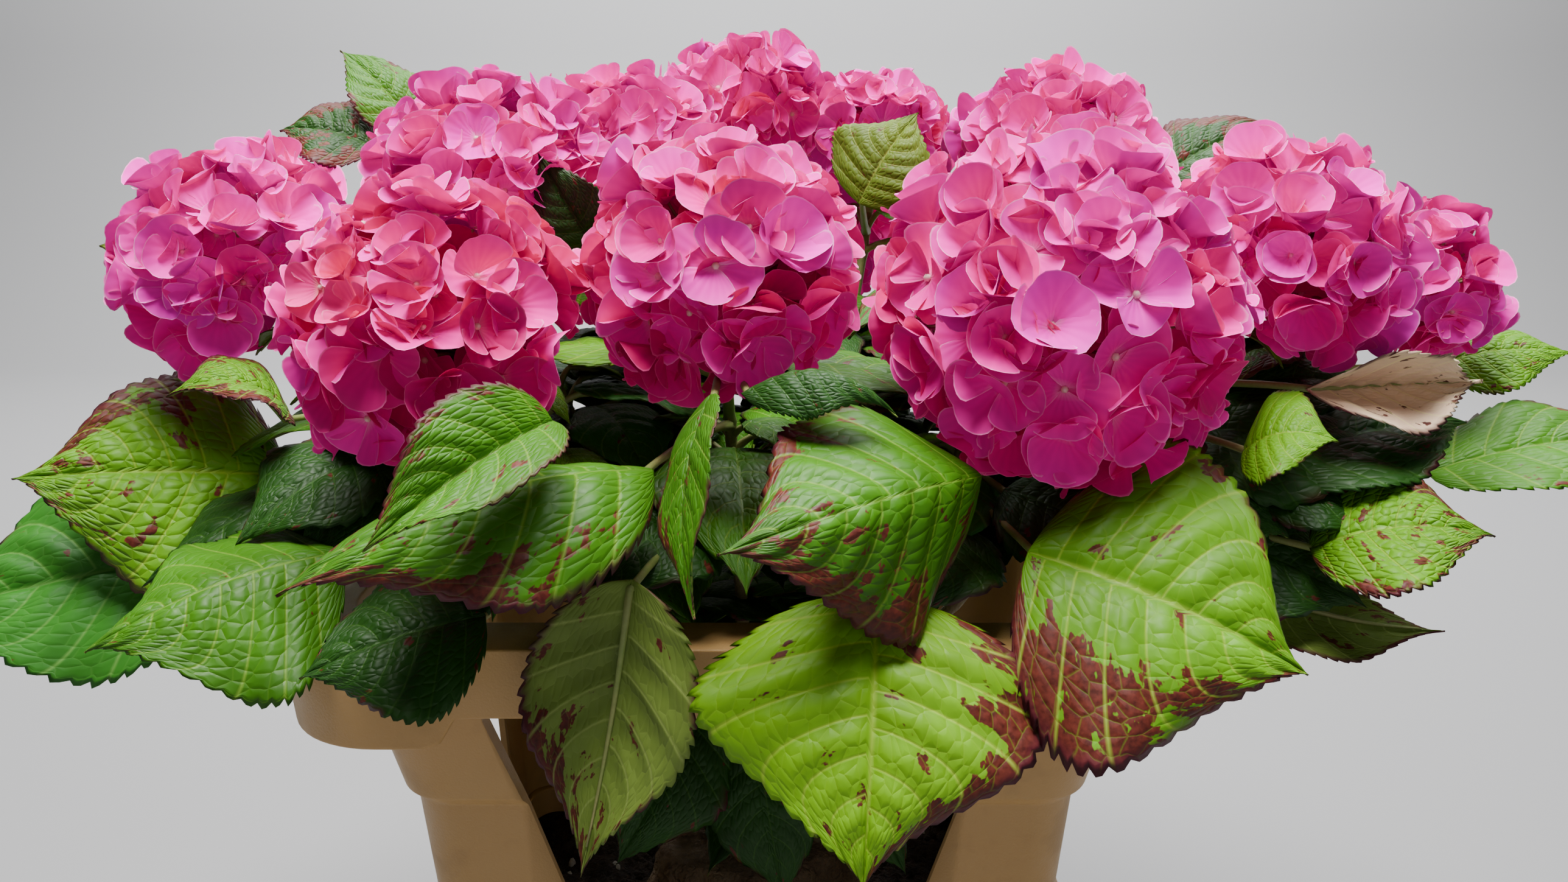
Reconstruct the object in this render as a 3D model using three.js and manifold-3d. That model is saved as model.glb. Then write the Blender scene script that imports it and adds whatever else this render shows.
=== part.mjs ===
// Mophead hydrangea shrub: pink flower heads on leafy stems, growing in a two-part plastic container.
// Millimetres, +Z up, the front is -Y. The origin is the centre of the container's flat underside.

import * as THREE from 'three';
import { mergeVertices } from 'three/addons/utils/BufferGeometryUtils.js';
import Module from 'manifold-3d';

const wasm = await Module();
wasm.setup();

// Driving dimensions of the container
const rimHalfX = 200;              // half of the long side at the rim
const rimHalfY = 150;              // half of the short side at the rim
const rimHeight = 400;             // top of the rim above the underside
const rimCornerRadius = 48;
const bandDepth = 32;              // rim band over the windows
const skirtDepth = 46;             // rim skirt at the corners
const windowTop = 364;
const windowBottom = 212;
const windowCornerRadius = 15;      // upper corners, the lower ones are sharper
const windowFootRadius = 6;
const longWindow = { topHalf: 116, bottomHalf: 71 };
const shortWindow = { topHalf: 66, bottomHalf: 45 };
const bucketFloor = 6;
const ledgeHeight = 199.7;         // the collar's foot stands 0.3 above this ledge
const soilTop = 190;
const seat = 0.3;                  // clearance between touching pieces

// Driving dimensions of the plant
const crownTop = 226;
const crownTopRadius = 50;
const crownFootRadius = 62;
const caneFootRadius = 3.9;
const caneTipRadius = 3.1;
const stemTipRadius = 2.6;
const massFoot = 388;              // height where a cane ends and its leafy stem begins
const peduncleRadius = 3.4;
const petioleRadius = 2.0;
const leafHalfThickness = 0.85;

// Flower heads: centre, radius, height of the dome as a share of the radius, and lean of the axis
const heads = [
  { at: [-121, -120, 525], radius: 61, dome: 1.0, lean: [-0.35, -0.75, 0.75] },
  { at: [-8, -100, 544], radius: 60, dome: 0.95, lean: [0, -0.65, 0.8] },
  { at: [131, -100, 529], radius: 80, dome: 0.88, lean: [0.2, -0.75, 0.75] },
  { at: [-243, -10, 540], radius: 60, dome: 0.95, lean: [-0.75, -0.2, 0.75] },
  { at: [-122, -5, 583], radius: 60, dome: 0.7, lean: [-0.15, -0.1, 1] },
  { at: [-65, 65, 594], radius: 54, dome: 0.72, lean: [-0.05, 0.05, 1] },
  { at: [-4, 122, 613], radius: 52, dome: 0.78, lean: [0, 0.1, 1] },
  { at: [71, 120, 598], radius: 48, dome: 0.78, lean: [0.1, 0.15, 1] },
  { at: [159, 42, 592], radius: 56, dome: 0.76, lean: [0.2, 0.05, 1] },
  { at: [239, -60, 548], radius: 56, dome: 0.95, lean: [0.6, -0.4, 0.8] },
  { at: [330, 0, 528], radius: 43, dome: 0.95, lean: [0.85, -0.1, 0.65] },
  { at: [-165, 98, 545], radius: 58, dome: 0.85, lean: [-0.55, 0.5, 0.8] },
  { at: [36, 196, 540], radius: 60, dome: 0.88, lean: [0.1, 0.75, 0.75] },
  { at: [172, 142, 545], radius: 58, dome: 0.85, lean: [0.5, 0.6, 0.75] },
];

// Large leaves, by stem: foot and tip of the blade, the way its upper side faces, rise of its arch,
// width, and the fold along the midrib and the curl towards the edges in degrees. A pressed leaf lies
// between flower heads, which are hollowed for it.
const showLeaves = [
  { stem: 4, foot: [-228, -22, 436], tip: [-338, -62, 446], face: [0.1, -0.8, 0.6], arch: 10, wide: 125, fold: 0, curl: -25 },
  { stem: 4, foot: [-252, -30, 402], tip: [-398, -62, 378], face: [0, -0.75, 0.65], arch: 6, wide: 110, fold: 5, curl: -15 },
  { stem: 4, foot: [-178, -56, 446], tip: [-262, -102, 408], face: [-0.25, -0.6, 0.75], arch: 12, wide: 88, fold: -20, curl: -10 },
  { stem: 1, foot: [-166, -120, 431], tip: [-248, -170, 408], face: [-0.2, -0.6, 0.75], arch: 10, wide: 110, fold: -25, curl: 0 },
  { stem: 4, foot: [-206, -62, 473], tip: [-246, -92, 491], face: [0, -0.3, 1], arch: 14, wide: 55, fold: 20, curl: -30 },
  { stem: 2, foot: [-32, -148, 474], tip: [-152, -216, 449], face: [-0.05, -0.35, 0.95], arch: 16, wide: 98, fold: -15, curl: -40 },
  { stem: 1, foot: [-66, -168, 498], tip: [-118, -226, 468], face: [0.3, -0.6, 0.7], arch: 8, wide: 48, fold: 40, curl: -20, pressed: true },
  { stem: 1, foot: [-97, -160, 419], tip: [-163, -180, 402], face: [0, -0.5, 0.85], arch: 6, wide: 75, fold: 0, curl: -20 },
  { stem: 2, foot: [-39, -166, 436], tip: [-60, -186, 322], face: [0.25, 0.9, -0.2], arch: 6, wide: 74, fold: -20, curl: 10 },
  { stem: 2, foot: [-9, -160, 506], tip: [-13, -208, 437], face: [-0.9, -0.5, 0.2], arch: 8, wide: 40, fold: 10, curl: -20, pressed: true },
  { stem: 2, foot: [2, -158, 506], tip: [60, -162, 498], face: [0, -0.1, 1], arch: 14, wide: 40, fold: -30, curl: -40, pressed: true },
  { stem: 3, foot: [94, -150, 472], tip: [-4, -218, 464], face: [0.05, -0.85, 0.5], arch: 12, wide: 110, fold: -28, curl: -10, twist: 10, pressed: true },
  { stem: 3, foot: [53, -166, 431], tip: [46, -216, 337], face: [0, -0.9, 0.45], arch: 14, wide: 128, fold: 0, curl: -15 },
  { stem: 3, foot: [112, -154, 443], tip: [208, -192, 409], face: [0.1, -0.8, 0.55], arch: 12, wide: 138, fold: 5, curl: -25 },
  { stem: 10, foot: [208, -112, 472], tip: [238, -132, 481], face: [0, -0.5, 0.9], arch: 8, wide: 60, fold: 10, curl: -20 },
  { stem: 10, foot: [240, -92, 494], tip: [332, -64, 492], face: [0, 0.9, 0.2], arch: 4, wide: 66, fold: -60, curl: 0 },
  { stem: 10, foot: [226, -80, 456], tip: [330, -60, 472], face: [0, -0.3, 0.9], arch: 8, wide: 80, fold: 10, curl: -20 },
  { stem: 10, foot: [241, -110, 429], tip: [307, -130, 441], face: [0, -0.45, 0.9], arch: 10, wide: 76, fold: 10, curl: -20 },
  { stem: 11, foot: [331, -30, 440], tip: [446, -44, 460], face: [0, -0.4, 0.9], arch: 10, wide: 62, fold: 10, curl: -20 },
  { stem: 11, foot: [354, 18, 484], tip: [416, 2, 493], face: [0, -0.5, 0.85], arch: 8, wide: 52, fold: 0, curl: -30 },
  { stem: 10, foot: [216, -98, 408], tip: [298, -120, 395], face: [0.1, 0.4, -0.9], arch: 8, wide: 50, fold: 10, curl: -20 },
  { stem: 8, foot: [56, 30, 566], tip: [86, 34, 611], face: [-0.2, -0.8, 0.5], arch: 6, wide: 66, fold: 0, curl: -20, pressed: true },
  { stem: 5, foot: [-166, 36, 598], tip: [-208, 46, 642], face: [0.3, -0.6, 0.6], arch: 6, wide: 42, fold: 10, curl: -20, pressed: true },
  { stem: 12, foot: [-186, 22, 594], tip: [-233, 22, 602], face: [0, -0.6, 0.8], arch: 6, wide: 52, fold: 10, curl: -20, pressed: true },
  { stem: 4, foot: [-290, 20, 532], tip: [-326, 14, 546], face: [0, -0.5, 0.8], arch: 4, wide: 36, fold: 20, curl: -20, pressed: true },
  { stem: 6, foot: [-68, -36, 548], tip: [-92, -44, 592], face: [-0.3, -0.7, 0.5], arch: 4, wide: 34, fold: 20, curl: -20, pressed: true },
  { stem: 9, foot: [208, 40, 576], tip: [272, 48, 607], face: [0, -0.6, 0.8], arch: 6, wide: 50, fold: 10, curl: -20, pressed: true },
];

const palette = {
  container: { color: 0xd8c3a0, roughness: 0.5 },
  soil: { color: 0x33261c, roughness: 1.0 },
  wood: { color: 0x6d5a3c, roughness: 0.85 },
  cane: { color: 0x6f8a3f, roughness: 0.6 },
  leaf: { color: 0x3f7d22, roughness: 0.45 },
  head: { color: 0xe0489c, roughness: 0.6 },
};

const plant = new THREE.Group();

function addNode(name, geometry, look) {
  const material = new THREE.MeshStandardMaterial({ ...palette[look], metalness: 0 });
  const mesh = new THREE.Mesh(geometry, material);
  mesh.name = name;
  plant.add(mesh);
}

// Repeatable random numbers between 0 and 1
function randomFrom(seed) {
  let state = seed >>> 0;
  return () => {
    state = (Math.imul(state, 1664525) + 1013904223) >>> 0;
    return state / 4294967296;
  };
}

const vector = (list) => new THREE.Vector3(...list);
const number = (k) => String(k).padStart(2, '0');

function indexedGeometry(points, triangles) {
  const geometry = new THREE.BufferGeometry();
  geometry.setAttribute('position', new THREE.Float32BufferAttribute(points.flatMap((p) => [p.x, p.y, p.z]), 3));
  geometry.setIndex(triangles.flat());
  return geometry;
}

function solidOf(geometry) {
  const bare = geometry.clone();
  bare.deleteAttribute('normal');
  bare.deleteAttribute('uv');
  const merged = mergeVertices(bare, 1e-4);
  return new wasm.Manifold(new wasm.Mesh({
    numProp: 3,
    vertProperties: new Float32Array(merged.attributes.position.array),
    triVerts: new Uint32Array(merged.index.array),
  }));
}

function geometryOf(solid) {
  const mesh = solid.getMesh();
  const geometry = new THREE.BufferGeometry();
  geometry.setAttribute('position', new THREE.BufferAttribute(new Float32Array(mesh.vertProperties), 3));
  geometry.setIndex(new THREE.BufferAttribute(new Uint32Array(mesh.triVerts), 1));
  return geometry;
}

// Bands of triangles between rings of equal length, closed round each ring
function bandTriangles(ringCount, ringLength, closed) {
  const triangles = [];
  const last = closed ? ringCount : ringCount - 1;
  for (let i = 0; i < last; i += 1) {
    for (let j = 0; j < ringLength; j += 1) {
      const a = i * ringLength + j;
      const b = i * ringLength + ((j + 1) % ringLength);
      const c = ((i + 1) % ringCount) * ringLength + j;
      const d = ((i + 1) % ringCount) * ringLength + ((j + 1) % ringLength);
      triangles.push([a, b, d], [a, d, c]);
    }
  }
  return triangles;
}

// Rings of points closed at both ends by a fan: the first and last entries are single points
function capsuleOf(rings, first, last) {
  const count = rings[0].length;
  const points = [...rings.flat(), first, last];
  const firstIndex = rings.length * count;
  const lastIndex = firstIndex + 1;
  const lastRing = (rings.length - 1) * count;
  const triangles = bandTriangles(rings.length, count, false);
  for (let j = 0; j < count; j += 1) {
    const next = (j + 1) % count;
    triangles.push([firstIndex, next, j], [lastIndex, lastRing + j, lastRing + next]);
  }
  return indexedGeometry(points, triangles);
}

// Container: every level is a rounded rectangle, moved in from the rim's outline by an inset
const cornerSteps = 3;

// Plan of the outline: corner arcs, with two extra points near each corner where the skirt steps
function planPoints(withSkirtSteps) {
  const plan = [];
  const corners = [[1, 1], [-1, 1], [-1, -1], [1, -1]];
  corners.forEach(([sx, sy], k) => {
    for (let s = 0; s <= cornerSteps; s += 1) {
      plan.push({ sx, sy, angle: (k + s / cornerSteps) * Math.PI / 2, deep: 1 });
    }
    if (!withSkirtSteps) return;
    const along = k % 2 === 0 ? { long: 1, steps: [0.842, 0.77] } : { long: 0, steps: [0.765, 0.657] };
    const [nx, ny] = corners[(k + 1) % 4];
    const [outer, inner] = along.steps;
    plan.push({ sx, sy, share: outer, ...along, deep: 1 }, { sx, sy, share: inner, ...along, deep: 0 });
    plan.push({ sx: nx, sy: ny, share: inner, ...along, deep: 0 }, { sx: nx, sy: ny, share: outer, ...along, deep: 1 });
  });
  return plan;
}

function levelPoint(spot, inset, z) {
  const halfX = rimHalfX + inset;
  const halfY = rimHalfY + inset;
  const radius = Math.max(14, rimCornerRadius + 0.55 * inset);
  const midX = halfX - radius;
  const midY = halfY - radius;
  if (spot.angle !== undefined) {
    return new THREE.Vector3(
      spot.sx * midX + radius * Math.cos(spot.angle),
      spot.sy * midY + radius * Math.sin(spot.angle),
      z,
    );
  }
  if (spot.long) return new THREE.Vector3(spot.sx * midX * spot.share, spot.sy * halfY, z);
  return new THREE.Vector3(spot.sx * halfX, spot.sy * midY * spot.share, z);
}

// Trapezoid with round corners, drawn across and up, carried right through the container
function windowSolid(size, acrossLongSide) {
  const corners = [
    [-size.topHalf, windowTop], [-size.bottomHalf, windowBottom],
    [size.bottomHalf, windowBottom], [size.topHalf, windowTop],
  ].map(([x, y]) => new THREE.Vector2(x, y));
  const shape = new THREE.Shape();
  corners.forEach((corner, k) => {
    const before = corners[(k + 3) % 4];
    const after = corners[(k + 1) % 4];
    const radius = corner.y === windowTop ? windowCornerRadius : windowFootRadius;
    const from = corner.clone().add(before.clone().sub(corner).setLength(radius));
    const to = corner.clone().add(after.clone().sub(corner).setLength(radius));
    if (k === 0) shape.moveTo(from.x, from.y);
    else shape.lineTo(from.x, from.y);
    shape.quadraticCurveTo(corner.x, corner.y, to.x, to.y);
  });
  const reach = 2 * rimHalfX + 40;
  const geometry = new THREE.ExtrudeGeometry(shape, { depth: reach, bevelEnabled: false, curveSegments: 3 });
  geometry.translate(0, 0, -reach / 2);
  geometry.rotateX(Math.PI / 2);
  if (!acrossLongSide) geometry.rotateZ(Math.PI / 2);
  return solidOf(geometry);
}

// Upper part: flared rim with a hanging skirt, corner posts that step in below it, and four windows
function buildCollar() {
  const top = rimHeight;
  const profile = [
    [0, top, 0], [-3.5, top - bandDepth, 1], [-6.3, top - bandDepth, 1], [-4.5, top - 4, 0],
    [-27, top - 5, 0], [-30, 356, 0], [-41, 309, 0], [-46, 304, 0], [-55, ledgeHeight + seat, 0],
    [-58.5, ledgeHeight + seat, 0], [-49.5, 304, 0], [-33, 385, 0], [-29, top, 0],
  ];
  const plan = planPoints(true);
  const rings = profile.map(([inset, z, skirt]) => plan.map((spot) => (
    levelPoint(spot, inset, z - skirt * spot.deep * (skirtDepth - bandDepth))
  )));
  const shell = indexedGeometry(rings.flat(), bandTriangles(rings.length, plan.length, true).map(([a, b, c]) => [a, c, b]));
  return solidOf(shell).subtract(windowSolid(longWindow, true)).subtract(windowSolid(shortWindow, false));
}

// Upright prism inside the skirt, between two heights
function prismInside(low, high) {
  const plan = planPoints(false);
  const rings = [low, high].map((z) => plan.map((spot) => levelPoint(spot, -15, z)));
  return solidOf(capsuleOf(rings, new THREE.Vector3(0, 0, low), new THREE.Vector3(0, 0, high)));
}

// The collar as a foot ring, four corner posts and four quarters of the rim, parted level with the
// windows' edges and over the middles of the windows
function addCollar(collar) {
  const half = seat / 2;
  addNode('collar_foot', geometryOf(collar.intersect(prismInside(0, windowBottom - half))), 'container');
  const posts = collar.intersect(prismInside(windowBottom + half, windowTop - half)).decompose();
  const rim = collar.subtract(prismInside(0, windowTop + half));
  [['front', -1], ['back', 1]].forEach(([end, y]) => {
    [['left', -1], ['right', 1]].forEach(([side, x]) => {
      const post = posts.find((piece) => {
        const { min, max } = piece.boundingBox();
        return (min[0] + max[0]) * x > 0 && (min[1] + max[1]) * y > 0;
      });
      addNode(`collar_post_${end}_${side}`, geometryOf(post), 'container');
      const quarter = rim.trimByPlane([x, 0, 0], half).trimByPlane([0, y, 0], half);
      addNode(`collar_rim_${end}_${side}`, geometryOf(quarter), 'container');
    });
  });
}

// Lower part: tapering bucket with a turned-down lip and an inner ledge that carries the collar
function buildBucket() {
  const profile = [
    [-70, 0], [-57, 188], [-50.5, 192], [-49.5, 205], [-37, 205], [-38, 192], [-35.4, 192],
    [-34, 209], [-36.5, 212], [-51.5, 212], [-52.8, ledgeHeight], [-61, ledgeHeight], [-74, bucketFloor],
  ];
  const plan = planPoints(false);
  const rings = profile.map(([inset, z]) => plan.map((spot) => levelPoint(spot, inset, z)));
  return capsuleOf(rings, new THREE.Vector3(0, 0, 0), new THREE.Vector3(0, 0, bucketFloor));
}

// Potting soil: fills the bucket, a little higher in the middle, and flat under the root crown
function buildSoil() {
  const plan = planPoints(false);
  const low = plan.map((spot) => levelPoint(spot, -74.6, bucketFloor + seat));
  const high = plan.map((spot) => levelPoint(spot, -62.6, soilTop - 6));
  const flat = high.map((p) => new THREE.Vector3(p.x * 0.62, p.y * 0.85, soilTop));
  const foot = new THREE.Vector3(0, 0, bucketFloor + seat);
  return capsuleOf([low, high, flat], foot, new THREE.Vector3(0, 0, soilTop));
}

// Root crown: a low woody stump with a flared foot and a flat top where the canes stand
function buildCrown() {
  const profile = [
    [0, soilTop + seat], [crownFootRadius, soilTop + seat], [crownFootRadius - 1, soilTop + 5],
    [crownTopRadius + 1, soilTop + 19], [crownTopRadius, crownTop - 4], [crownTopRadius - 4, crownTop], [0, crownTop],
  ].map(([x, y]) => new THREE.Vector2(x, y));
  const geometry = new THREE.LatheGeometry(profile, 20);
  geometry.rotateX(Math.PI / 2);
  const position = geometry.attributes.position;
  for (let i = 0; i < position.count; i += 1) {
    const angle = Math.atan2(position.getY(i), position.getX(i));
    const lobe = 1 + 0.045 * Math.cos(5 * angle) + 0.03 * Math.cos(3 * angle + 1);
    position.setXYZ(i, position.getX(i) * lobe, position.getY(i) * lobe * 0.92, position.getZ(i));
  }
  return geometryOf(solidOf(geometry));
}

// Tapering limb round a list of centre points, with flat ends
function limb(path, radii, sides) {
  const points = [];
  let side = null;
  path.forEach((point, k) => {
    const before = path[Math.max(k - 1, 0)];
    const after = path[Math.min(k + 1, path.length - 1)];
    const along = after.clone().sub(before).normalize();
    if (!side) side = Math.abs(along.z) > 0.9 ? new THREE.Vector3(1, 0, 0) : new THREE.Vector3(0, 0, 1);
    side = side.clone().addScaledVector(along, -side.dot(along)).normalize();
    const across = new THREE.Vector3().crossVectors(along, side);
    for (let j = 0; j < sides; j += 1) {
      const angle = j / sides * Math.PI * 2;
      points.push(point.clone()
        .addScaledVector(side, radii[k] * Math.cos(angle))
        .addScaledVector(across, radii[k] * Math.sin(angle)));
    }
  });
  const triangles = bandTriangles(path.length, sides, false);
  const lastRing = (path.length - 1) * sides;
  for (let j = 1; j < sides - 1; j += 1) {
    triangles.push([0, j + 1, j], [lastRing, lastRing + j, lastRing + j + 1]);
  }
  return indexedGeometry(points, triangles);
}

// Stem: from its place on the root crown, up through the collar, then out to the foot of its head
function stemOf(head) {
  const centre = vector(head.at);
  const axis = vector(head.lean).normalize();
  const outward = new THREE.Vector3(centre.x, centre.y, 0);
  const spread = Math.min(42, 0.15 * outward.length());
  outward.normalize();
  const foot = outward.clone().multiplyScalar(spread);
  foot.y *= 0.9;
  foot.z = crownTop - 2;
  const end = centre.clone().addScaledVector(axis, -(0.62 * head.radius + 12));
  const rise = foot.clone().addScaledVector(outward, 0.1 * centre.clone().setZ(0).length()).setZ(foot.z + 165);
  const lead = end.clone().addScaledVector(axis, -85);
  return { centre, axis, end, curve: new THREE.CubicBezierCurve3(foot, rise, lead, end) };
}

// Share of the curve at which it reaches a height
function shareAtHeight(curve, height) {
  let low = 0;
  let high = 1;
  for (let k = 0; k < 24; k += 1) {
    const middle = (low + high) / 2;
    if (curve.getPoint(middle).z < height) low = middle;
    else high = middle;
  }
  return low;
}

function curvePoints(curve, from, to, count) {
  return Array.from({ length: count + 1 }, (_, k) => curve.getPoint(from + (to - from) * k / count));
}

const blend = (from, to, count) => Array.from({ length: count + 1 }, (_, k) => from + (to - from) * k / count);

// Point of a head in its own frame: across the axis by two shares of the radius, and along it
function headFrame(stem, head) {
  const up = Math.abs(stem.axis.z) > 0.99 ? new THREE.Vector3(0, 1, 0) : new THREE.Vector3(0, 0, 1);
  const acrossA = new THREE.Vector3().crossVectors(up, stem.axis).normalize();
  const acrossB = new THREE.Vector3().crossVectors(stem.axis, acrossA);
  return (x, y, z) => stem.centre.clone()
    .addScaledVector(acrossA, x * head.radius)
    .addScaledVector(acrossB, y * head.radius)
    .addScaledVector(stem.axis, z * head.radius * (z > 0 ? head.dome : 0.6));
}

// Ball of a head, flattened below: share gives the size at each point as a share of the radius
function headBall(place, share, across, down) {
  const rings = [];
  for (let i = 1; i < down; i += 1) {
    const fall = i / down * Math.PI;
    rings.push(Array.from({ length: across }, (_, j) => {
      const turn = (j + (i % 2) / 2) / across * Math.PI * 2;
      const size = share(i, j);
      return place(size * Math.sin(fall) * Math.cos(turn), size * Math.sin(fall) * Math.sin(turn), size * Math.cos(fall));
    }));
  }
  rings.reverse();
  return solidOf(capsuleOf(rings, place(0, 0, -share(down, 0)), place(0, 0, share(0, 0))));
}

// Head: florets stand up between the gaps that part them, as raised and sunk points, on a short neck
const floretsAround = 16;
const floretRows = 9;

function buildHead(head, stem, seed) {
  const random = randomFrom(seed);
  const bumps = (i, j) => ((i + j) % 2 ? 0.91 : 1.04) + 0.05 * (random() - 0.5);
  const solid = headBall(headFrame(stem, head), bumps, floretsAround, floretRows);
  const neck = [0.25 * head.radius, 0.62 * head.radius + 12 - seat].map((drop) => (
    stem.centre.clone().addScaledVector(stem.axis, -drop)
  ));
  return solid.add(solidOf(limb(neck, [peduncleRadius, peduncleRadius], 6)));
}

// Half space beyond a plane, as a block large enough to cut a head
function blockBeyond(point, normal) {
  const size = 400;
  const block = new THREE.BoxGeometry(size, size, size);
  block.translate(0, 0, size / 2);
  block.applyQuaternion(new THREE.Quaternion().setFromUnitVectors(new THREE.Vector3(0, 0, 1), normal));
  block.translate(point.x, point.y, point.z);
  return solidOf(block);
}

// Heads press flat against each other: a head is cut off at the plane between it and each neighbour
function partHead(solid, i) {
  let parted = solid;
  const here = vector(heads[i].at);
  heads.forEach((other, j) => {
    if (i === j) return;
    const apart = vector(other.at).sub(here);
    const distance = apart.length();
    if (distance > heads[i].radius + other.radius + 4) return;
    apart.normalize();
    const share = heads[i].radius / (heads[i].radius + other.radius);
    parted = parted.subtract(blockBeyond(here.clone().addScaledVector(apart, distance * share - seat / 2), apart));
  });
  return parted;
}

// Half width of a blade along its midrib: broad above a rounded foot, drawn out to a point
const bladeOutline = (t) => (t <= 0 || t >= 1 ? 0 : Math.sin(Math.PI * t ** 0.75) ** (0.7 + 0.9 * t));
const broadGrid = { stations: [0.14, 0.45, 0.8], shares: [-1, -0.5, 0, 0.5, 1] };
const plainGrid = { stations: [0.18, 0.5, 0.8], shares: [-1, 0, 1] };

// Blade: the midrib is a quadratic curve, and each half bends away from it by fold and curl
function bladePoint(leaf, t, q) {
  const foot = vector(leaf.foot);
  const tip = vector(leaf.tip);
  const chord = tip.clone().sub(foot);
  const rise = vector(leaf.face).normalize();
  rise.addScaledVector(chord, -rise.dot(chord) / chord.lengthSq()).normalize();
  const knee = foot.clone().add(tip).multiplyScalar(0.5).addScaledVector(rise, 2 * leaf.arch);
  const point = foot.clone().multiplyScalar((1 - t) ** 2)
    .addScaledVector(knee, 2 * t * (1 - t))
    .addScaledVector(tip, t * t);
  const along = knee.clone().sub(foot).multiplyScalar(1 - t)
    .addScaledVector(tip.clone().sub(knee), t)
    .normalize();
  const normal = rise.clone().addScaledVector(along, -along.dot(rise)).normalize();
  const turn = THREE.MathUtils.degToRad(leaf.twist ?? 0) * (t - 0.5);
  const side = new THREE.Vector3().crossVectors(along, normal);
  const up = normal.clone().multiplyScalar(Math.cos(turn)).addScaledVector(side, Math.sin(turn));
  side.multiplyScalar(Math.cos(turn)).addScaledVector(normal, -Math.sin(turn));
  const fold = THREE.MathUtils.degToRad(leaf.fold);
  const curl = THREE.MathUtils.degToRad(Math.abs(leaf.curl) < 0.5 ? 0.5 : leaf.curl);
  const bend = fold + curl * Math.abs(q);
  const half = leaf.wide / 2 * bladeOutline(t);
  point.addScaledVector(side, half * Math.sign(q) * (Math.sin(bend) - Math.sin(fold)) / curl);
  point.addScaledVector(up, -half * (Math.cos(bend) - Math.cos(fold)) / curl);
  return { point, up, along };
}

function bladeSolid(leaf, { stations, shares, ends = [0, 1] }, thick = leafHalfThickness) {
  const points = [bladePoint(leaf, ends[0], 0).point];
  const upper = [];
  const lower = [];
  stations.forEach((t) => {
    const upperRow = [];
    const lowerRow = [];
    shares.forEach((q) => {
      const { point, up } = bladePoint(leaf, t, q);
      if (Math.abs(q) === 1) {
        points.push(point);
        upperRow.push(points.length - 1);
        lowerRow.push(points.length - 1);
        return;
      }
      points.push(point.clone().addScaledVector(up, thick));
      upperRow.push(points.length - 1);
      points.push(point.clone().addScaledVector(up, -thick));
      lowerRow.push(points.length - 1);
    });
    upper.push(upperRow);
    lower.push(lowerRow);
  });
  points.push(bladePoint(leaf, ends[1], 0).point);
  const tipIndex = points.length - 1;
  const triangles = [];
  const across = shares.length - 1;
  const first = 0;
  const last = stations.length - 1;
  for (let j = 0; j < across; j += 1) {
    triangles.push([first, upper[0][j + 1], upper[0][j]], [first, lower[0][j], lower[0][j + 1]]);
    triangles.push([tipIndex, upper[last][j], upper[last][j + 1]], [tipIndex, lower[last][j + 1], lower[last][j]]);
    for (let i = 0; i < last; i += 1) {
      const [a, b, c, d] = [upper[i][j], upper[i][j + 1], upper[i + 1][j], upper[i + 1][j + 1]];
      triangles.push([a, d, c], [a, b, d]);
      const [e, f, g, h] = [lower[i][j], lower[i][j + 1], lower[i + 1][j], lower[i + 1][j + 1]];
      triangles.push([e, g, h], [e, h, f]);
    }
  }
  return solidOf(indexedGeometry(points, triangles));
}

// Petiole: from the near point of the leafy stem to inside the blade's foot
function petioleSolid(leaf, stemPoints, radius = petioleRadius) {
  const foot = vector(leaf.foot);
  let start = stemPoints[0];
  let best = Infinity;
  stemPoints.slice(1, -1).forEach((point) => {
    const cost = point.distanceTo(foot) + 2 * Math.max(0, point.z - foot.z + 8);
    if (cost < best) {
      best = cost;
      start = point;
    }
  });
  const inside = bladePoint(leaf, 0.1, 0).point;
  const middle = start.clone().lerp(foot, 0.55);
  middle.z += 0.06 * start.distanceTo(foot);
  return solidOf(limb([start, middle, inside], [radius, radius * 0.85, radius * 0.7], 3));
}

// Leaf with a little room all round, on the same curved surface, to hollow what it is pressed into
function leafRoom(leaf, stemPoints) {
  const ratio = 1.15 + 10 / leaf.wide;
  const wider = { ...leaf, wide: leaf.wide * ratio, curl: leaf.curl * ratio };
  return bladeSolid(wider, { ...broadGrid, ends: [-0.06, 1.08] }, leafHalfThickness + 1.2)
    .add(petioleSolid(leaf, stemPoints, petioleRadius + 1.3));
}

// Leaves of the rest of the crown: pairs at two nodes of each stem, each pair across the last. Each
// leaf comes with the turns and lengths that it tries in order until it finds room.
const pairShares = [0.86, 0.4];
const leafTries = [[0, 1], [28, 0.86], [-28, 0.86], [50, 0.7], [-50, 0.7]];

function seededLeaves(k, stemPoints) {
  const random = randomFrom(7001 + 13 * k);
  const firstTurn = random() * 180;
  const leaves = [];
  pairShares.forEach((share, node) => {
    const at = stemPoints[Math.round(share * (stemPoints.length - 1))];
    for (let side = 0; side < 2; side += 1) {
      const heading = firstTurn + 90 * node + 180 * side + 30 * (random() - 0.5);
      const long = 88 + 34 * random();
      const fall = THREE.MathUtils.degToRad(-4 - 22 * random());
      const arch = 8 + 6 * random();
      const share = 0.66 + 0.12 * random();
      const twist = 30 * (random() - 0.5);
      leaves.push(leafTries.map(([turn, scale]) => {
        const azimuth = THREE.MathUtils.degToRad(heading + turn);
        const out = new THREE.Vector3(Math.cos(azimuth), Math.sin(azimuth), 0);
        const foot = at.clone().addScaledVector(out, 24).setZ(at.z + 10 + 6 * node);
        const tip = foot.clone().addScaledVector(out, long * scale * Math.cos(fall));
        tip.z += long * scale * Math.sin(fall);
        return {
          foot: foot.toArray(), tip: tip.toArray(), face: [out.x * 0.25, out.y * 0.25, 1],
          arch: arch * scale, wide: long * scale * share, fold: 8, curl: -24, twist,
        };
      }));
    }
  });
  return leaves;
}

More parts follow.
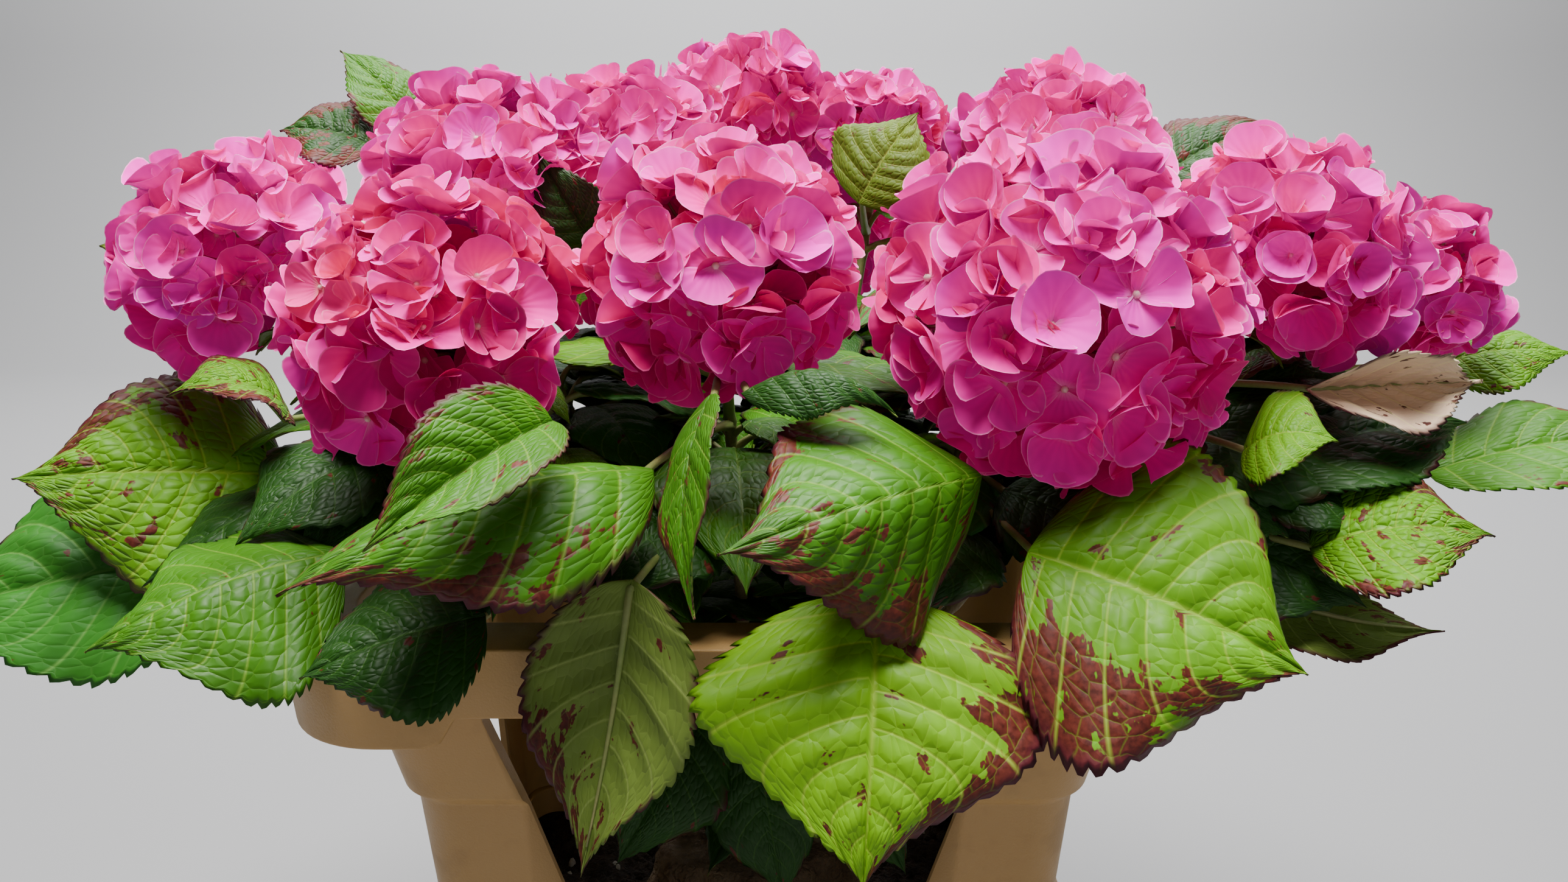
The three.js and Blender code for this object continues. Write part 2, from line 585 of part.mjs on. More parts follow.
function boxesMeet(a, b, gap) {
  return a.min.every((low, i) => low <= b.max[i] + gap) && b.min.every((low, i) => low <= a.max[i] + gap);
}

function isClear(solid, others) {
  const box = solid.boundingBox();
  return others.every((other) => (
    !boxesMeet(box, other.boundingBox(), 1) || solid.minGap(other, 1) > seat
  ));
}

function largestPiece(solid) {
  const pieces = solid.decompose();
  return pieces.reduce((best, piece) => (piece.volume() > best.volume() ? piece : best), pieces[0]);
}

// Finished mesh of a solid: near vertices joined, then scraps dropped and sealed hollows filled
function settledGeometry(solid) {
  const merged = mergeVertices(geometryOf(solid), 1e-3);
  const corners = merged.index.array;
  const kept = [];
  for (let i = 0; i < corners.length; i += 3) {
    const [a, b, c] = corners.slice(i, i + 3);
    if (a !== b && b !== c && c !== a) kept.push(a, b, c);
  }
  merged.setIndex(kept);
  return geometryOf(largestPiece(solidOf(merged)));
}

// True where each edge of a mesh belongs to two triangles
function isClosed(geometry) {
  const merged = mergeVertices(geometry, 1e-3);
  const corners = merged.index.array;
  const uses = new Map();
  for (let i = 0; i < corners.length; i += 1) {
    const next = i % 3 === 2 ? i - 2 : i + 1;
    const edge = [corners[i], corners[next]].sort((a, b) => a - b).join();
    uses.set(edge, (uses.get(edge) ?? 0) + 1);
  }
  return [...uses.values()].every((count) => count === 2);
}

const collar = buildCollar();
const bucket = buildBucket();
addNode('bucket', bucket, 'container');
addCollar(collar);
addNode('potting_soil', buildSoil(), 'soil');
addNode('root_crown', buildCrown(), 'wood');

const stems = heads.map(stemOf);
const headEnvelopes = heads.map((head, k) => headBall(headFrame(stems[k], head), () => 1.12, 12, 8));

// Canes stand on the flat top of the root crown and end where the leafy stems begin, one clearance apart
const limbSides = 5;
const caneSteps = 4;
const stemSteps = 5;
const underCanes = blockBeyond(new THREE.Vector3(0, 0, crownTop + seat), new THREE.Vector3(0, 0, -1));
const canes = [];
const masses = [];
stems.forEach((stem) => {
  const cut = shareAtHeight(stem.curve, massFoot);
  const canePath = curvePoints(stem.curve, 0, cut, caneSteps);
  canes.push(solidOf(limb(canePath, blend(caneFootRadius, caneTipRadius, caneSteps), limbSides)).subtract(underCanes));
  const massPath = curvePoints(stem.curve, cut, 1, stemSteps);
  const along = massPath[1].clone().sub(massPath[0]).normalize();
  massPath[0].addScaledVector(along, seat);
  const core = solidOf(limb(massPath, blend(caneTipRadius, stemTipRadius, stemSteps), limbSides));
  masses.push({ core, nodes: curvePoints(stem.curve, cut, 1, 14), parts: [], blades: [] });
});

// Heads: the first seed that gives a closed mesh, once hollowed for the pressed leaves
const rooms = showLeaves.filter((leaf) => leaf.pressed)
  .map((leaf) => leafRoom(leaf, masses[leaf.stem - 1].nodes));
const headSolids = heads.map((head, k) => {
  let solid = null;
  for (let attempt = 0; attempt < 8; attempt += 1) {
    solid = partHead(buildHead(head, stems[k], 101 + k + 20 * attempt), k);
    rooms.forEach((room) => {
      if (boxesMeet(room.boundingBox(), solid.boundingBox(), 0)) solid = largestPiece(solid.subtract(room));
    });
    if (isClosed(settledGeometry(solid))) break;
  }
  return solid;
});

// A leaf is kept where it is rooted and clear of the container, heads, canes, stems and other leaves
function growLeaf(leaf, k, grid) {
  const blade = bladeSolid(leaf, grid);
  let whole = blade.add(petioleSolid(leaf, masses[k].nodes));
  if (!leaf.pressed) {
    headEnvelopes.forEach((envelope) => {
      if (boxesMeet(whole.boundingBox(), envelope.boundingBox(), 0)) whole = whole.subtract(envelope);
    });
    if (whole.volume() < 0.8 * blade.volume()) return false;
    whole = largestPiece(whole);
  }
  const others = [collar, ...headSolids, ...canes];
  masses.forEach((mass, j) => {
    if (j !== k) others.push(mass.core, ...mass.parts);
  });
  const rooted = whole.minGap(masses[k].core, 1) === 0;
  if (!rooted || !isClear(whole, others) || !isClear(blade, masses[k].blades)) return false;
  masses[k].parts.push(whole);
  masses[k].blades.push(blade);
  return true;
}

showLeaves.forEach((leaf) => growLeaf(leaf, leaf.stem - 1, broadGrid));
stems.forEach((stem, k) => {
  seededLeaves(k, masses[k].nodes).forEach((tries) => tries.some((leaf) => growLeaf(leaf, k, plainGrid)));
});

stems.forEach((stem, k) => {
  addNode(`cane_${number(k + 1)}`, geometryOf(canes[k]), 'cane');
  const mass = masses[k].parts.reduce((sum, part) => sum.add(part), masses[k].core);
  addNode(`leaves_${number(k + 1)}`, settledGeometry(mass), 'leaf');
  addNode(`bloom_${number(k + 1)}`, settledGeometry(headSolids[k]), 'head');
});

export default plant;
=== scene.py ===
# Looks of a pink mophead hydrangea shrub in a cream two-part plastic container.
# Shapes are worked out in millimetres, +Z up, front at -Y, and turned to metres as each mesh is made.
import math

import bpy
import numpy as np
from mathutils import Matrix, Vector


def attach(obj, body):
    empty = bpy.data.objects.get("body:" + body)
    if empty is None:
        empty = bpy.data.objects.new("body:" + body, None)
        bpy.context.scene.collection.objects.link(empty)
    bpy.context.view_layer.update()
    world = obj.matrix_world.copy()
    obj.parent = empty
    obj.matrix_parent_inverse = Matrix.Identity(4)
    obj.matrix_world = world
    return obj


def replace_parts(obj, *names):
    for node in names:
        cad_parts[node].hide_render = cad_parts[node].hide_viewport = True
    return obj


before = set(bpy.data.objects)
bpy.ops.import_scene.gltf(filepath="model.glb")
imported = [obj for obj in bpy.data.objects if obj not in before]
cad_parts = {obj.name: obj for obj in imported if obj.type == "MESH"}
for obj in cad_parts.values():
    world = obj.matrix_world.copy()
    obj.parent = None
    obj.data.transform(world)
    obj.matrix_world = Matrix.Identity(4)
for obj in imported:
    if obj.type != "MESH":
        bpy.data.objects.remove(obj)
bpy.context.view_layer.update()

mm = 0.001
golden = math.pi * (3 - math.sqrt(5))
print("frame loaded with", len(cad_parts), "nodes")


def unit(vectors):
    # v / |v| along the last axis
    vectors = np.asarray(vectors, float)
    return vectors / np.maximum(np.linalg.norm(vectors, axis=-1, keepdims=True), 1e-12)


def sheetFaces(index):
    # quads between neighbouring entries of a table of point numbers
    return np.stack([index[:-1, :-1], index[:-1, 1:], index[1:, 1:], index[1:, :-1]], -1).reshape(-1, 4)


def ringFaces(rows, columns):
    # the same for rings: the last column joins the first
    index = np.arange(rows * columns).reshape(rows, columns)
    return sheetFaces(np.concatenate([index, index[:, :1]], 1))


def rowsOf(fields, table):
    # a dictionary of the named fields for each row of a table
    return [dict(zip(fields, row)) for row in table]


def makePiece(name, points, faces, materials, finish, slots=None, layers=None):
    # one mesh object from points in mm, lists of quads and triangles, and a material slot for each face
    faces = [f for f in (faces if isinstance(faces, list) else [faces]) if len(f)]
    corners = np.concatenate([f.ravel() for f in faces]).astype(np.int32)
    sizes = np.concatenate([np.full(len(f), f.shape[1]) for f in faces])
    mesh = bpy.data.meshes.new(name)
    mesh.vertices.add(len(points))
    mesh.vertices.foreach_set("co", (np.asarray(points, np.float32) * mm).ravel())
    mesh.loops.add(len(corners))
    mesh.loops.foreach_set("vertex_index", corners)
    mesh.polygons.add(len(sizes))
    mesh.polygons.foreach_set("loop_start", (np.cumsum(sizes) - sizes).astype(np.int32))
    mesh.polygons.foreach_set("use_smooth", np.ones(len(sizes), bool))
    if slots is not None:
        mesh.polygons.foreach_set("material_index", np.asarray(slots, np.int32))
    for label, values in (layers or {}).items():
        mesh.uv_layers.new(name=label).data.foreach_set("uv", np.asarray(values, np.float32)[corners].ravel())
    mesh.update(calc_edges=True)
    mesh.validate()
    for material in materials:
        mesh.materials.append(material)
    piece = bpy.data.objects.new(name, mesh)
    bpy.context.scene.collection.objects.link(piece)
    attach(piece, "root")
    return piece


class Batch:
    # gathers many small meshes into one
    def __init__(self):
        self.points, self.quads, self.triangles = [], [], []
        self.quadSlots, self.triangleSlots, self.layers, self.count = [], [], {}, 0

    def add(self, points, quads, triangles=None, slots=0, triangleSlots=0, **layers):
        # one more mesh, whose faces count on from the points that are there
        points = np.asarray(points).reshape(-1, 3)
        self.points.append(points)
        self.quads.append(np.asarray(quads) + self.count)
        self.quadSlots.append(np.broadcast_to(slots, len(quads)))
        if triangles is not None:
            self.triangles.append(np.asarray(triangles) + self.count)
            self.triangleSlots.append(np.broadcast_to(triangleSlots, len(triangles)))
        for label, values in layers.items():
            self.layers.setdefault(label, []).append(np.asarray(values).reshape(-1, 2))
        self.count += len(points)

    def piece(self, name, materials, finish):
        # all of them as one object
        faces = [np.concatenate(self.quads)]
        slots = [np.concatenate(self.quadSlots)]
        if self.triangles:
            faces.append(np.concatenate(self.triangles))
            slots.append(np.concatenate(self.triangleSlots))
        points, slots = np.concatenate(self.points), np.concatenate(slots)
        layers = {label: np.concatenate(values) for label, values in self.layers.items()}
        return makePiece(name, points, faces, materials, finish, slots, layers)


def copies(faces, count, step):
    # the same faces for each of many equal meshes, whose points follow each other by one step
    return (faces + np.arange(count)[:, None, None] * step).reshape(-1, faces.shape[-1])


def closingFans(rows, columns):
    # triangles that close a stack of rings with two more points: one under the first ring, one over the last
    turn = np.arange(columns)
    following = (turn + 1) % columns
    last = (rows - 1) * columns
    under = np.stack([np.full(columns, rows * columns), following, turn], -1)
    over = np.stack([np.full(columns, rows * columns + 1), last + turn, last + following], -1)
    return np.concatenate([under, over])


def closedRings(rings, low, high):
    # points and faces of a stack of rings, closed to points on the axis at two heights
    rows, columns = rings.shape[:2]
    points = np.concatenate([rings.reshape(-1, 3), [(0, 0, low), (0, 0, high)]])
    return points, [ringFaces(rows, columns), closingFans(rows, columns)]


def ballPoints(falls):
    # rings of six points on a ball of radius 1: (sin f cos t, sin f sin t, cos f)
    fall = np.asarray(falls)[:, None]
    turn = np.linspace(0, 2 * math.pi, 6, endpoint=False)[None]
    return np.stack([np.sin(fall) * np.cos(turn), np.sin(fall) * np.sin(turn), np.cos(fall) * np.ones(6)], -1)


def ballFaces(rings):
    # quads between the rings of such a ball, and a flat fan over each end
    last = 6 * (rings - 1)
    fans = [(0, j, j + 1) for j in range(1, 5)] + [(last, last + j + 1, last + j) for j in range(1, 5)]
    return ringFaces(rings, 6)[:, ::-1], np.array(fans)


def tubes(paths, radii, sides):
    # rings round paths: p + r (cos a side + sin a across), with a flat cap at each end
    paths = np.asarray(paths, float)
    radii = np.broadcast_to(radii, paths.shape[:2])
    tangent = unit(np.gradient(paths, axis=1))
    spare = np.eye(3)[np.argmin(np.abs(tangent.mean(1)), -1)][:, None]  # the axis the path runs along least
    side = unit(np.cross(tangent, spare))
    across = np.cross(tangent, side)
    angle = np.linspace(0, 2 * math.pi, sides, endpoint=False)[:, None]
    ring = np.cos(angle) * side[:, :, None] + np.sin(angle) * across[:, :, None]
    points = paths[:, :, None] + radii[..., None, None] * ring
    count, rows = paths.shape[:2]
    step = rows * sides
    fan = np.stack([np.zeros(sides - 2, int), np.arange(2, sides), np.arange(1, sides - 1)], -1)
    caps = np.concatenate([fan, fan[:, ::-1] + (rows - 1) * sides])
    return points.reshape(-1, 3), copies(ringFaces(rows, sides), count, step), copies(caps, count, step)


def bezier(knots, t):
    # quadratic or cubic curve of its control points
    t = np.asarray(t, float)[..., None]
    if len(knots) == 3:
        a, b, c = knots
        return a * (1 - t) ** 2 + b * 2 * t * (1 - t) + c * t ** 2
    a, b, c, d = knots
    return a * (1 - t) ** 3 + b * 3 * t * (1 - t) ** 2 + c * 3 * t ** 2 * (1 - t) + d * t ** 3


def newMaterial(name, roughness, specular=0.5, coat=0.0, sheen=0.0):
    # bare material, its tree and its shader
    material = bpy.data.materials.new(name)
    material.use_nodes = True
    tree = material.node_tree
    shader = tree.nodes["Principled BSDF"]
    shader.inputs["Roughness"].default_value = roughness
    shader.inputs["Specular IOR Level"].default_value = specular
    shader.inputs["Coat Weight"].default_value = coat
    shader.inputs["Coat Roughness"].default_value = 0.25
    shader.inputs["Sheen Weight"].default_value = sheen
    return material, tree, shader


def node(tree, kind, values=None, **settings):
    # adds a node, sets its own settings and the plain values of its sockets
    made = tree.nodes.new("ShaderNode" + kind)
    for key, value in settings.items():
        setattr(made, key, value)
    for key, value in (values or {}).items():
        made.inputs[key].default_value = value
    return made


def mixColour(tree, factor, first, second):
    # first where the factor is 0 and second where it is 1
    mix = node(tree, "Mix", data_type="RGBA")
    for socket, value in zip((mix.inputs[0], mix.inputs[6], mix.inputs[7]), (factor, first, second)):
        if isinstance(value, bpy.types.NodeSocket):
            tree.links.new(value, socket)
        else:
            socket.default_value = value if isinstance(value, float) else (*value, 1)
    return mix.outputs[2]


def maths(tree, operation, first, second=0.0, third=0.0, clamp=False):
    # one sum on sockets or plain numbers
    step = node(tree, "Math", operation=operation, use_clamp=clamp)
    for socket, value in zip(step.inputs, (first, second, third)):
        if isinstance(value, bpy.types.NodeSocket):
            tree.links.new(value, socket)
        else:
            socket.default_value = value
    return step.outputs[0]


def layOver(tree, mask, share, under, over):
    # one colour laid over another by a share of a mask
    return mixColour(tree, maths(tree, "MULTIPLY", mask, share), under, over)


def shade(colour, factor):
    # a colour made darker or lighter
    return tuple(min(1.0, c * factor) for c in colour)


def newGroup(name, inputs, outputs):
    # empty shader group with number inputs and named outputs
    group = bpy.data.node_groups.new(name, "ShaderNodeTree")
    for label, value in inputs.items():
        group.interface.new_socket(label, in_out="INPUT", socket_type="NodeSocketFloat").default_value = value
    for label in outputs:
        group.interface.new_socket(label, in_out="OUTPUT", socket_type="NodeSocketFloat")
    return group, group.nodes.new("NodeGroupInput"), group.nodes.new("NodeGroupOutput")


def useGroup(tree, group, values=None):
    # a group placed in a material with its own values
    placed = node(tree, "Group")
    placed.node_tree = group
    for key, value in (values or {}).items():
        placed.inputs[key].default_value = value
    return placed


def addBump(tree, shader, height, strength, distance):
    # a height mask that the shader takes as relief
    raised = node(tree, "Bump", {"Strength": strength, "Distance": distance})
    tree.links.new(height, raised.inputs["Height"])
    tree.links.new(raised.outputs[0], shader.inputs["Normal"])


def ownMap(group, label):
    # one of the piece's own maps
    return node(group, "UVMap", uv_map=label).outputs["UV"]


def parts(group, vector):
    # the two numbers of a map
    split = node(group, "SeparateXYZ")
    group.links.new(vector, split.inputs[0])
    return split.outputs[0], split.outputs[1]


def stretched(group, vector, scale):
    # a map multiplied along each axis
    stretch = node(group, "Mapping", {"Scale": scale})
    group.links.new(vector, stretch.inputs["Vector"])
    return stretch.outputs[0]


def fadeFrom(group, distance, sharp):
    # 1 at a distance of 0 and less further off: 1 - sharp times the distance, not below 0
    return maths(group, "SUBTRACT", 1.0, maths(group, "MULTIPLY", distance, sharp), clamp=True)


def putOut(group, end, values):
    # masks joined to the group's outputs of the same names
    for label, value in values.items():
        group.links.new(value, end.inputs[label])


def buildMottle():
    # slow and fine noise of the place in the object, as two masks from 0 to 1
    inputs = {"Scale": 20.0, "Fine scale": 200.0, "Contrast": 2.0}
    group, start, end = newGroup("mottle", inputs, ["Patch", "Fine"])
    place = node(group, "TexCoord").outputs["Object"]
    for label, size, detail in (("Patch", "Scale", 3.0), ("Fine", "Fine scale", 2.0)):
        noise = node(group, "TexNoise", {"Detail": detail, "Roughness": 0.55})
        group.links.new(place, noise.inputs["Vector"])
        group.links.new(start.outputs[size], noise.inputs["Scale"])
        centred = maths(group, "SUBTRACT", noise.outputs["Fac"], 0.5)
        strong = maths(group, "MULTIPLY_ADD", centred, start.outputs["Contrast"], 0.5, clamp=True)
        group.links.new(strong, end.inputs[label])
    return group


# how sharp the drawn veins and the net's lines are, how the cushions rise and how deep the veins sink
veinNet = {
    "scale": (2.1, 10.5, 1.0), "scatter": 0.85, "sideSharp": 17.0, "midSharp": 40.0, "lineSharp": 16.0,
    "cushionRise": 2.6, "veinSink": 0.6,
}


def netCells(group, own, feature):
    # the vein net: cells on the leaf's own pattern
    values = {"Randomness": veinNet["scatter"], "Scale": 1.0}
    cells = node(group, "TexVoronoi", values, feature=feature, voronoi_dimensions="2D")
    group.links.new(stretched(group, own, veinNet["scale"]), cells.inputs["Vector"])
    return cells.outputs


def buildVeins():
    # leaf veins from the leaf's own pattern: u counts the side veins, v runs from -1 to 1 across
    group, _, end = newGroup("leafVeins", {}, ["Veins", "Net", "Height"])
    own = ownMap(group, "ownPattern")
    number, across = parts(group, own)
    fromMiddle = maths(group, "ABSOLUTE", maths(group, "SUBTRACT", maths(group, "FRACT", number), 0.5))
    sideVein = fadeFrom(group, maths(group, "SUBTRACT", 0.5, fromMiddle), veinNet["sideSharp"])
    midVein = fadeFrom(group, maths(group, "ABSOLUTE", across), veinNet["midSharp"])
    veins = maths(group, "MAXIMUM", sideVein, midVein)
    fromLine = netCells(group, own, "DISTANCE_TO_EDGE")["Distance"]
    # cushion: n (2 - n), where n is the distance from the net's line, at most 1
    inward = maths(group, "MULTIPLY", fromLine, veinNet["cushionRise"], clamp=True)
    cushions = maths(group, "MULTIPLY", inward, maths(group, "SUBTRACT", 2.0, inward))
    height = maths(group, "SUBTRACT", cushions, maths(group, "MULTIPLY", veins, veinNet["veinSink"]))
    net = fadeFrom(group, fromLine, veinNet["lineSharp"])
    putOut(group, end, {"Veins": veins, "Net": net, "Height": height})
    return group


# the slow cloud and its share, the tint needed without it, and the share of each cell's own number
rustSpread = {
    "cloudScale": (1.1, 2.6, 1.0), "cloudDetail": 4.0, "cloudRoughness": 0.62, "cloudShare": 2.7,
    "needed": 0.52, "cellShare": 0.16, "sharp": 16.0, "rimShare": 0.8,
}


def buildRust():
    # a cell of the vein net rusts where the leaf's own tint beats 0.52 + 2.7 (cloud - 0.5) + 0.16 number
    group, _, end = newGroup("leafRust", {}, ["Rust", "Rim"])
    own = ownMap(group, "ownPattern")
    amount, rim = parts(group, ownMap(group, "ownTint"))
    number = node(group, "SeparateColor")
    group.links.new(netCells(group, own, "F1")["Color"], number.inputs[0])
    values = {"Detail": rustSpread["cloudDetail"], "Roughness": rustSpread["cloudRoughness"], "Scale": 1.0}
    cloud = node(group, "TexNoise", values, noise_dimensions="2D")
    group.links.new(stretched(group, own, rustSpread["cloudScale"]), cloud.inputs["Vector"])
    centred = maths(group, "SUBTRACT", cloud.outputs["Fac"], 0.5)
    clouded = maths(group, "MULTIPLY_ADD", centred, rustSpread["cloudShare"], rustSpread["needed"])
    needed = maths(group, "MULTIPLY_ADD", number.outputs[0], rustSpread["cellShare"], clouded)
    beaten = maths(group, "SUBTRACT", amount, needed)
    frayed = maths(group, "MULTIPLY_ADD", centred, rustSpread["rimShare"], rim, clamp=True)
    rust = maths(group, "MULTIPLY", beaten, rustSpread["sharp"], clamp=True)
    putOut(group, end, {"Rust": rust, "Rim": maths(group, "MULTIPLY", frayed, rim)})
    return group


# where the pale edge begins and how sharply; the edge is partly a painted highlight
sepalMarks = {
    "fanFrom": 1.35, "fanLines": 34.0, "blushFrom": 0.15, "edgeFrom": 0.9, "edgeSharp": 10.0,
    "throatSharp": 2.6,
}


def buildPetalLines():
    # sepal's own pattern: u and v run from -1 to 1, the claw at u = -1. Fine lines fan out from behind it,
    # and blush and the pale edge, partly a painted highlight, grow with u² + v²
    group, _, end = newGroup("petalLines", {}, ["Lines", "Blush", "PaleEdgeAndHighlight", "Throat"])
    along, across = parts(group, ownMap(group, "ownPattern"))
    fan = maths(group, "ARCTAN2", across, maths(group, "ADD", along, sepalMarks["fanFrom"]))
    wave = maths(group, "SINE", maths(group, "MULTIPLY", fan, sepalMarks["fanLines"]))
    alongSquare, acrossSquare = (maths(group, "MULTIPLY", part, part) for part in (along, across))
    squares = maths(group, "ADD", alongSquare, acrossSquare)
    pastEdge = maths(group, "SUBTRACT", squares, sepalMarks["edgeFrom"])
    putOut(group, end, {
        "Lines": maths(group, "MULTIPLY_ADD", wave, 0.5, 0.5, clamp=True),
        "Blush": maths(group, "SUBTRACT", squares, sepalMarks["blushFrom"], clamp=True),
        "PaleEdgeAndHighlight": maths(group, "MULTIPLY", pastEdge, sepalMarks["edgeSharp"], clamp=True),
        "Throat": fadeFrom(group, maths(group, "ADD", along, 1.0), sepalMarks["throatSharp"]),
    })
    return group


mottle = buildMottle()
leafVeins = buildVeins()
leafRust = buildRust()
petalLines = buildPetalLines()

leafLook = {
    "specular": 0.25, "coat": 0.03, "shades": (0.7, 1.3), "net": 0.14, "netCross": 0.26, "veins": 0.7,
    "glossSpread": 0.16, "relief": 0.0009,
    "rustBrown": (0.05, 0.008, 0.005), "rustRed": (0.14, 0.024, 0.014), "rimPurple": (0.07, 0.006, 0.018),
}


def leafMaterial(name, base, vein, roughness, bump):
    # green with paler veins and a paler net between them, rusted cells crossed by the net, purple teeth
    material, tree, shader = newMaterial(name, roughness, leafLook["specular"], leafLook["coat"])
    pattern = useGroup(tree, leafVeins).outputs
    autumn = useGroup(tree, leafRust).outputs
    tone = useGroup(tree, mottle, {"Scale": 26.0, "Fine scale": 420.0, "Contrast": 2.2}).outputs
    ground = mixColour(tree, tone["Patch"], *[shade(base, share) for share in leafLook["shades"]])
    netted = layOver(tree, pattern["Net"], leafLook["net"], ground, vein)
    rustTone = mixColour(tree, tone["Fine"], leafLook["rustBrown"], leafLook["rustRed"])
    crossed = maths(tree, "MULTIPLY_ADD", pattern["Net"], -leafLook["netCross"], 1.0)
    rusted = layOver(tree, autumn["Rust"], crossed, netted, rustTone)
    veined = layOver(tree, pattern["Veins"], leafLook["veins"], rusted, vein)
    tree.links.new(mixColour(tree, autumn["Rim"], veined, leafLook["rimPurple"]), shader.inputs["Base Color"])
    spread = leafLook["glossSpread"]
    gloss = maths(tree, "MULTIPLY_ADD", tone["Fine"], spread, roughness - spread / 2)
    tree.links.new(gloss, shader.inputs["Roughness"])
    addBump(tree, shader, pattern["Height"], bump, leafLook["relief"])
    return material


# the petals' faint glow is painted light, standing in for light passing through the sepals; the edge share
# paints a pale rim that is partly a highlight
petalLook = {
    "roughness": 0.6, "specular": 0.1, "sheen": 0.03, "sheenRoughness": 0.4, "paintedGlow": 0.06, "paintedGlowShade": 0.9,
    "shades": (0.86, 1.12), "blush": 0.07, "lines": 0.14, "lineShade": 0.62, "edge": 0.75, "throat": 0.5,
    "relief": (0.25, 0.0004),
}


def petalMaterial(name, base, edgeTone, throatTone):
    # pink that pales outwards, with faint fanned lines, a pale thin edge that is partly a painted highlight,
    # a pale throat, and a faint painted glow standing in for light through the sepals
    material, tree, shader = newMaterial(name, petalLook["roughness"], specular=petalLook["specular"],
                                         sheen=petalLook["sheen"])
    shader.inputs["Sheen Roughness"].default_value = petalLook["sheenRoughness"]
    # painted glow in the petal's own pink, which keeps its shade rosy
    shader.inputs["Emission Color"].default_value = (*shade(base, petalLook["paintedGlowShade"]), 1)
    shader.inputs["Emission Strength"].default_value = petalLook["paintedGlow"]
    pattern = useGroup(tree, petalLines).outputs
    tone = useGroup(tree, mottle, {"Scale": 45.0, "Fine scale": 900.0, "Contrast": 2.0}).outputs
    ground = mixColour(tree, tone["Patch"], *[shade(base, share) for share in petalLook["shades"]])
    blushed = layOver(tree, pattern["Blush"], petalLook["blush"], ground, edgeTone)
    lined = layOver(tree, pattern["Lines"], petalLook["lines"], blushed, shade(base, petalLook["lineShade"]))
    # pale thin edge: partly the sepal's pale rim, partly a painted highlight along it
    edged = layOver(tree, pattern["PaleEdgeAndHighlight"], petalLook["edge"], lined, edgeTone)
    throated = layOver(tree, pattern["Throat"], petalLook["throat"], edged, throatTone)
    tree.links.new(throated, shader.inputs["Base Color"])
    addBump(tree, shader, pattern["Lines"], *petalLook["relief"])
    return material


# base, second tone, roughness, how fine patches and grain are, strength and depth in metres of the relief
mottledLooks = {
    "eyeCream": ((0.92, 0.74, 0.6), (0.95, 0.6, 0.6), 0.5, 300.0, 900.0, 0.1, 0.0002),
    "stalkGreen": ((0.3, 0.36, 0.12), (0.42, 0.3, 0.2), 0.55, 60.0, 500.0, 0.2, 0.0003),
    "petioleGreen": ((0.2, 0.3, 0.06), (0.34, 0.3, 0.12), 0.5, 40.0, 600.0, 0.2, 0.0003),
    "stemGreen": ((0.14, 0.24, 0.05), (0.26, 0.26, 0.09), 0.5, 50.0, 700.0, 0.25, 0.0004),
    "caneBark": ((0.3, 0.22, 0.12), (0.17, 0.16, 0.06), 0.75, 45.0, 420.0, 0.6, 0.0008),
    "rootBark": ((0.14, 0.09, 0.05), (0.26, 0.18, 0.1), 0.85, 60.0, 380.0, 0.9, 0.0015),
    "pottingSoil": ((0.022, 0.013, 0.008), (0.055, 0.034, 0.02), 0.95, 90.0, 520.0, 1.0, 0.002),
    "paleGrit": ((0.55, 0.52, 0.47), (0.42, 0.38, 0.32), 0.8, 200.0, 800.0, 0.4, 0.0005),
}


def mottledMaterial(name):
    # two tones in slow patches, and a fine darker grain that is also the relief
    base, second, roughness, patches, grain, strength, distance = mottledLooks[name]
    material, tree, shader = newMaterial(name, roughness)
    tone = useGroup(tree, mottle, {"Scale": patches, "Fine scale": grain, "Contrast": 2.4}).outputs
    ground = mixColour(tree, tone["Patch"], base, second)
    tree.links.new(layOver(tree, tone["Fine"], 0.3, ground, shade(base, 0.55)), shader.inputs["Base Color"])
    addBump(tree, shader, tone["Fine"], strength, distance)
    return material


plant = {
    "crownTop": 226, "massFoot": 388, "caneFoot": 3.9, "caneTip": 3.1, "stemTip": 2.6,
    "petiole": 2.0, "peduncle": 3.4, "leafThick": 0.45, "nodes": 15,
    "footShare": 0.15, "footLimit": 42, "riseShare": 0.1, "rise": 165, "lead": 85,
    "neckShare": 0.62, "neckGap": 12,
}

# centre, radius, height of the dome as a share of the radius, lean of the axis, and warmth of the pink
heads = rowsOf(("at", "radius", "dome", "lean", "warm"), [
    ((-121, -120, 525), 61, 1.0, (-0.35, -0.75, 0.75), 0.6),
    ((-8, -100, 544), 60, 0.95, (0, -0.65, 0.8), 0.45),
    ((131, -100, 529), 80, 0.88, (0.2, -0.75, 0.75), 0.1),
    ((-243, -10, 540), 60, 0.95, (-0.75, -0.2, 0.75), 0.1),
    ((-122, -5, 583), 60, 0.7, (-0.15, -0.1, 1), 0.3),
    ((-65, 65, 594), 54, 0.72, (-0.05, 0.05, 1), 0.3),
    ((-4, 122, 613), 52, 0.78, (0, 0.1, 1), 0.45),
    ((71, 120, 598), 48, 0.78, (0.1, 0.15, 1), 0.3),
    ((159, 42, 592), 56, 0.76, (0.2, 0.05, 1), 0.3),
    ((239, -60, 548), 56, 0.95, (0.6, -0.4, 0.8), 0.15),
    ((330, 0, 528), 43, 0.95, (0.85, -0.1, 0.65), 0.25),
    ((-165, 98, 545), 58, 0.85, (-0.55, 0.5, 0.8), 0.2),
    ((36, 196, 540), 60, 0.88, (0.1, 0.75, 0.75), 0.3),
    ((172, 142, 545), 58, 0.85, (0.5, 0.6, 0.75), 0.2),
])


def neckLength(head):
    # from the head's centre back to the end of its leafy stem
    return plant["neckShare"] * head["radius"] + plant["neckGap"]


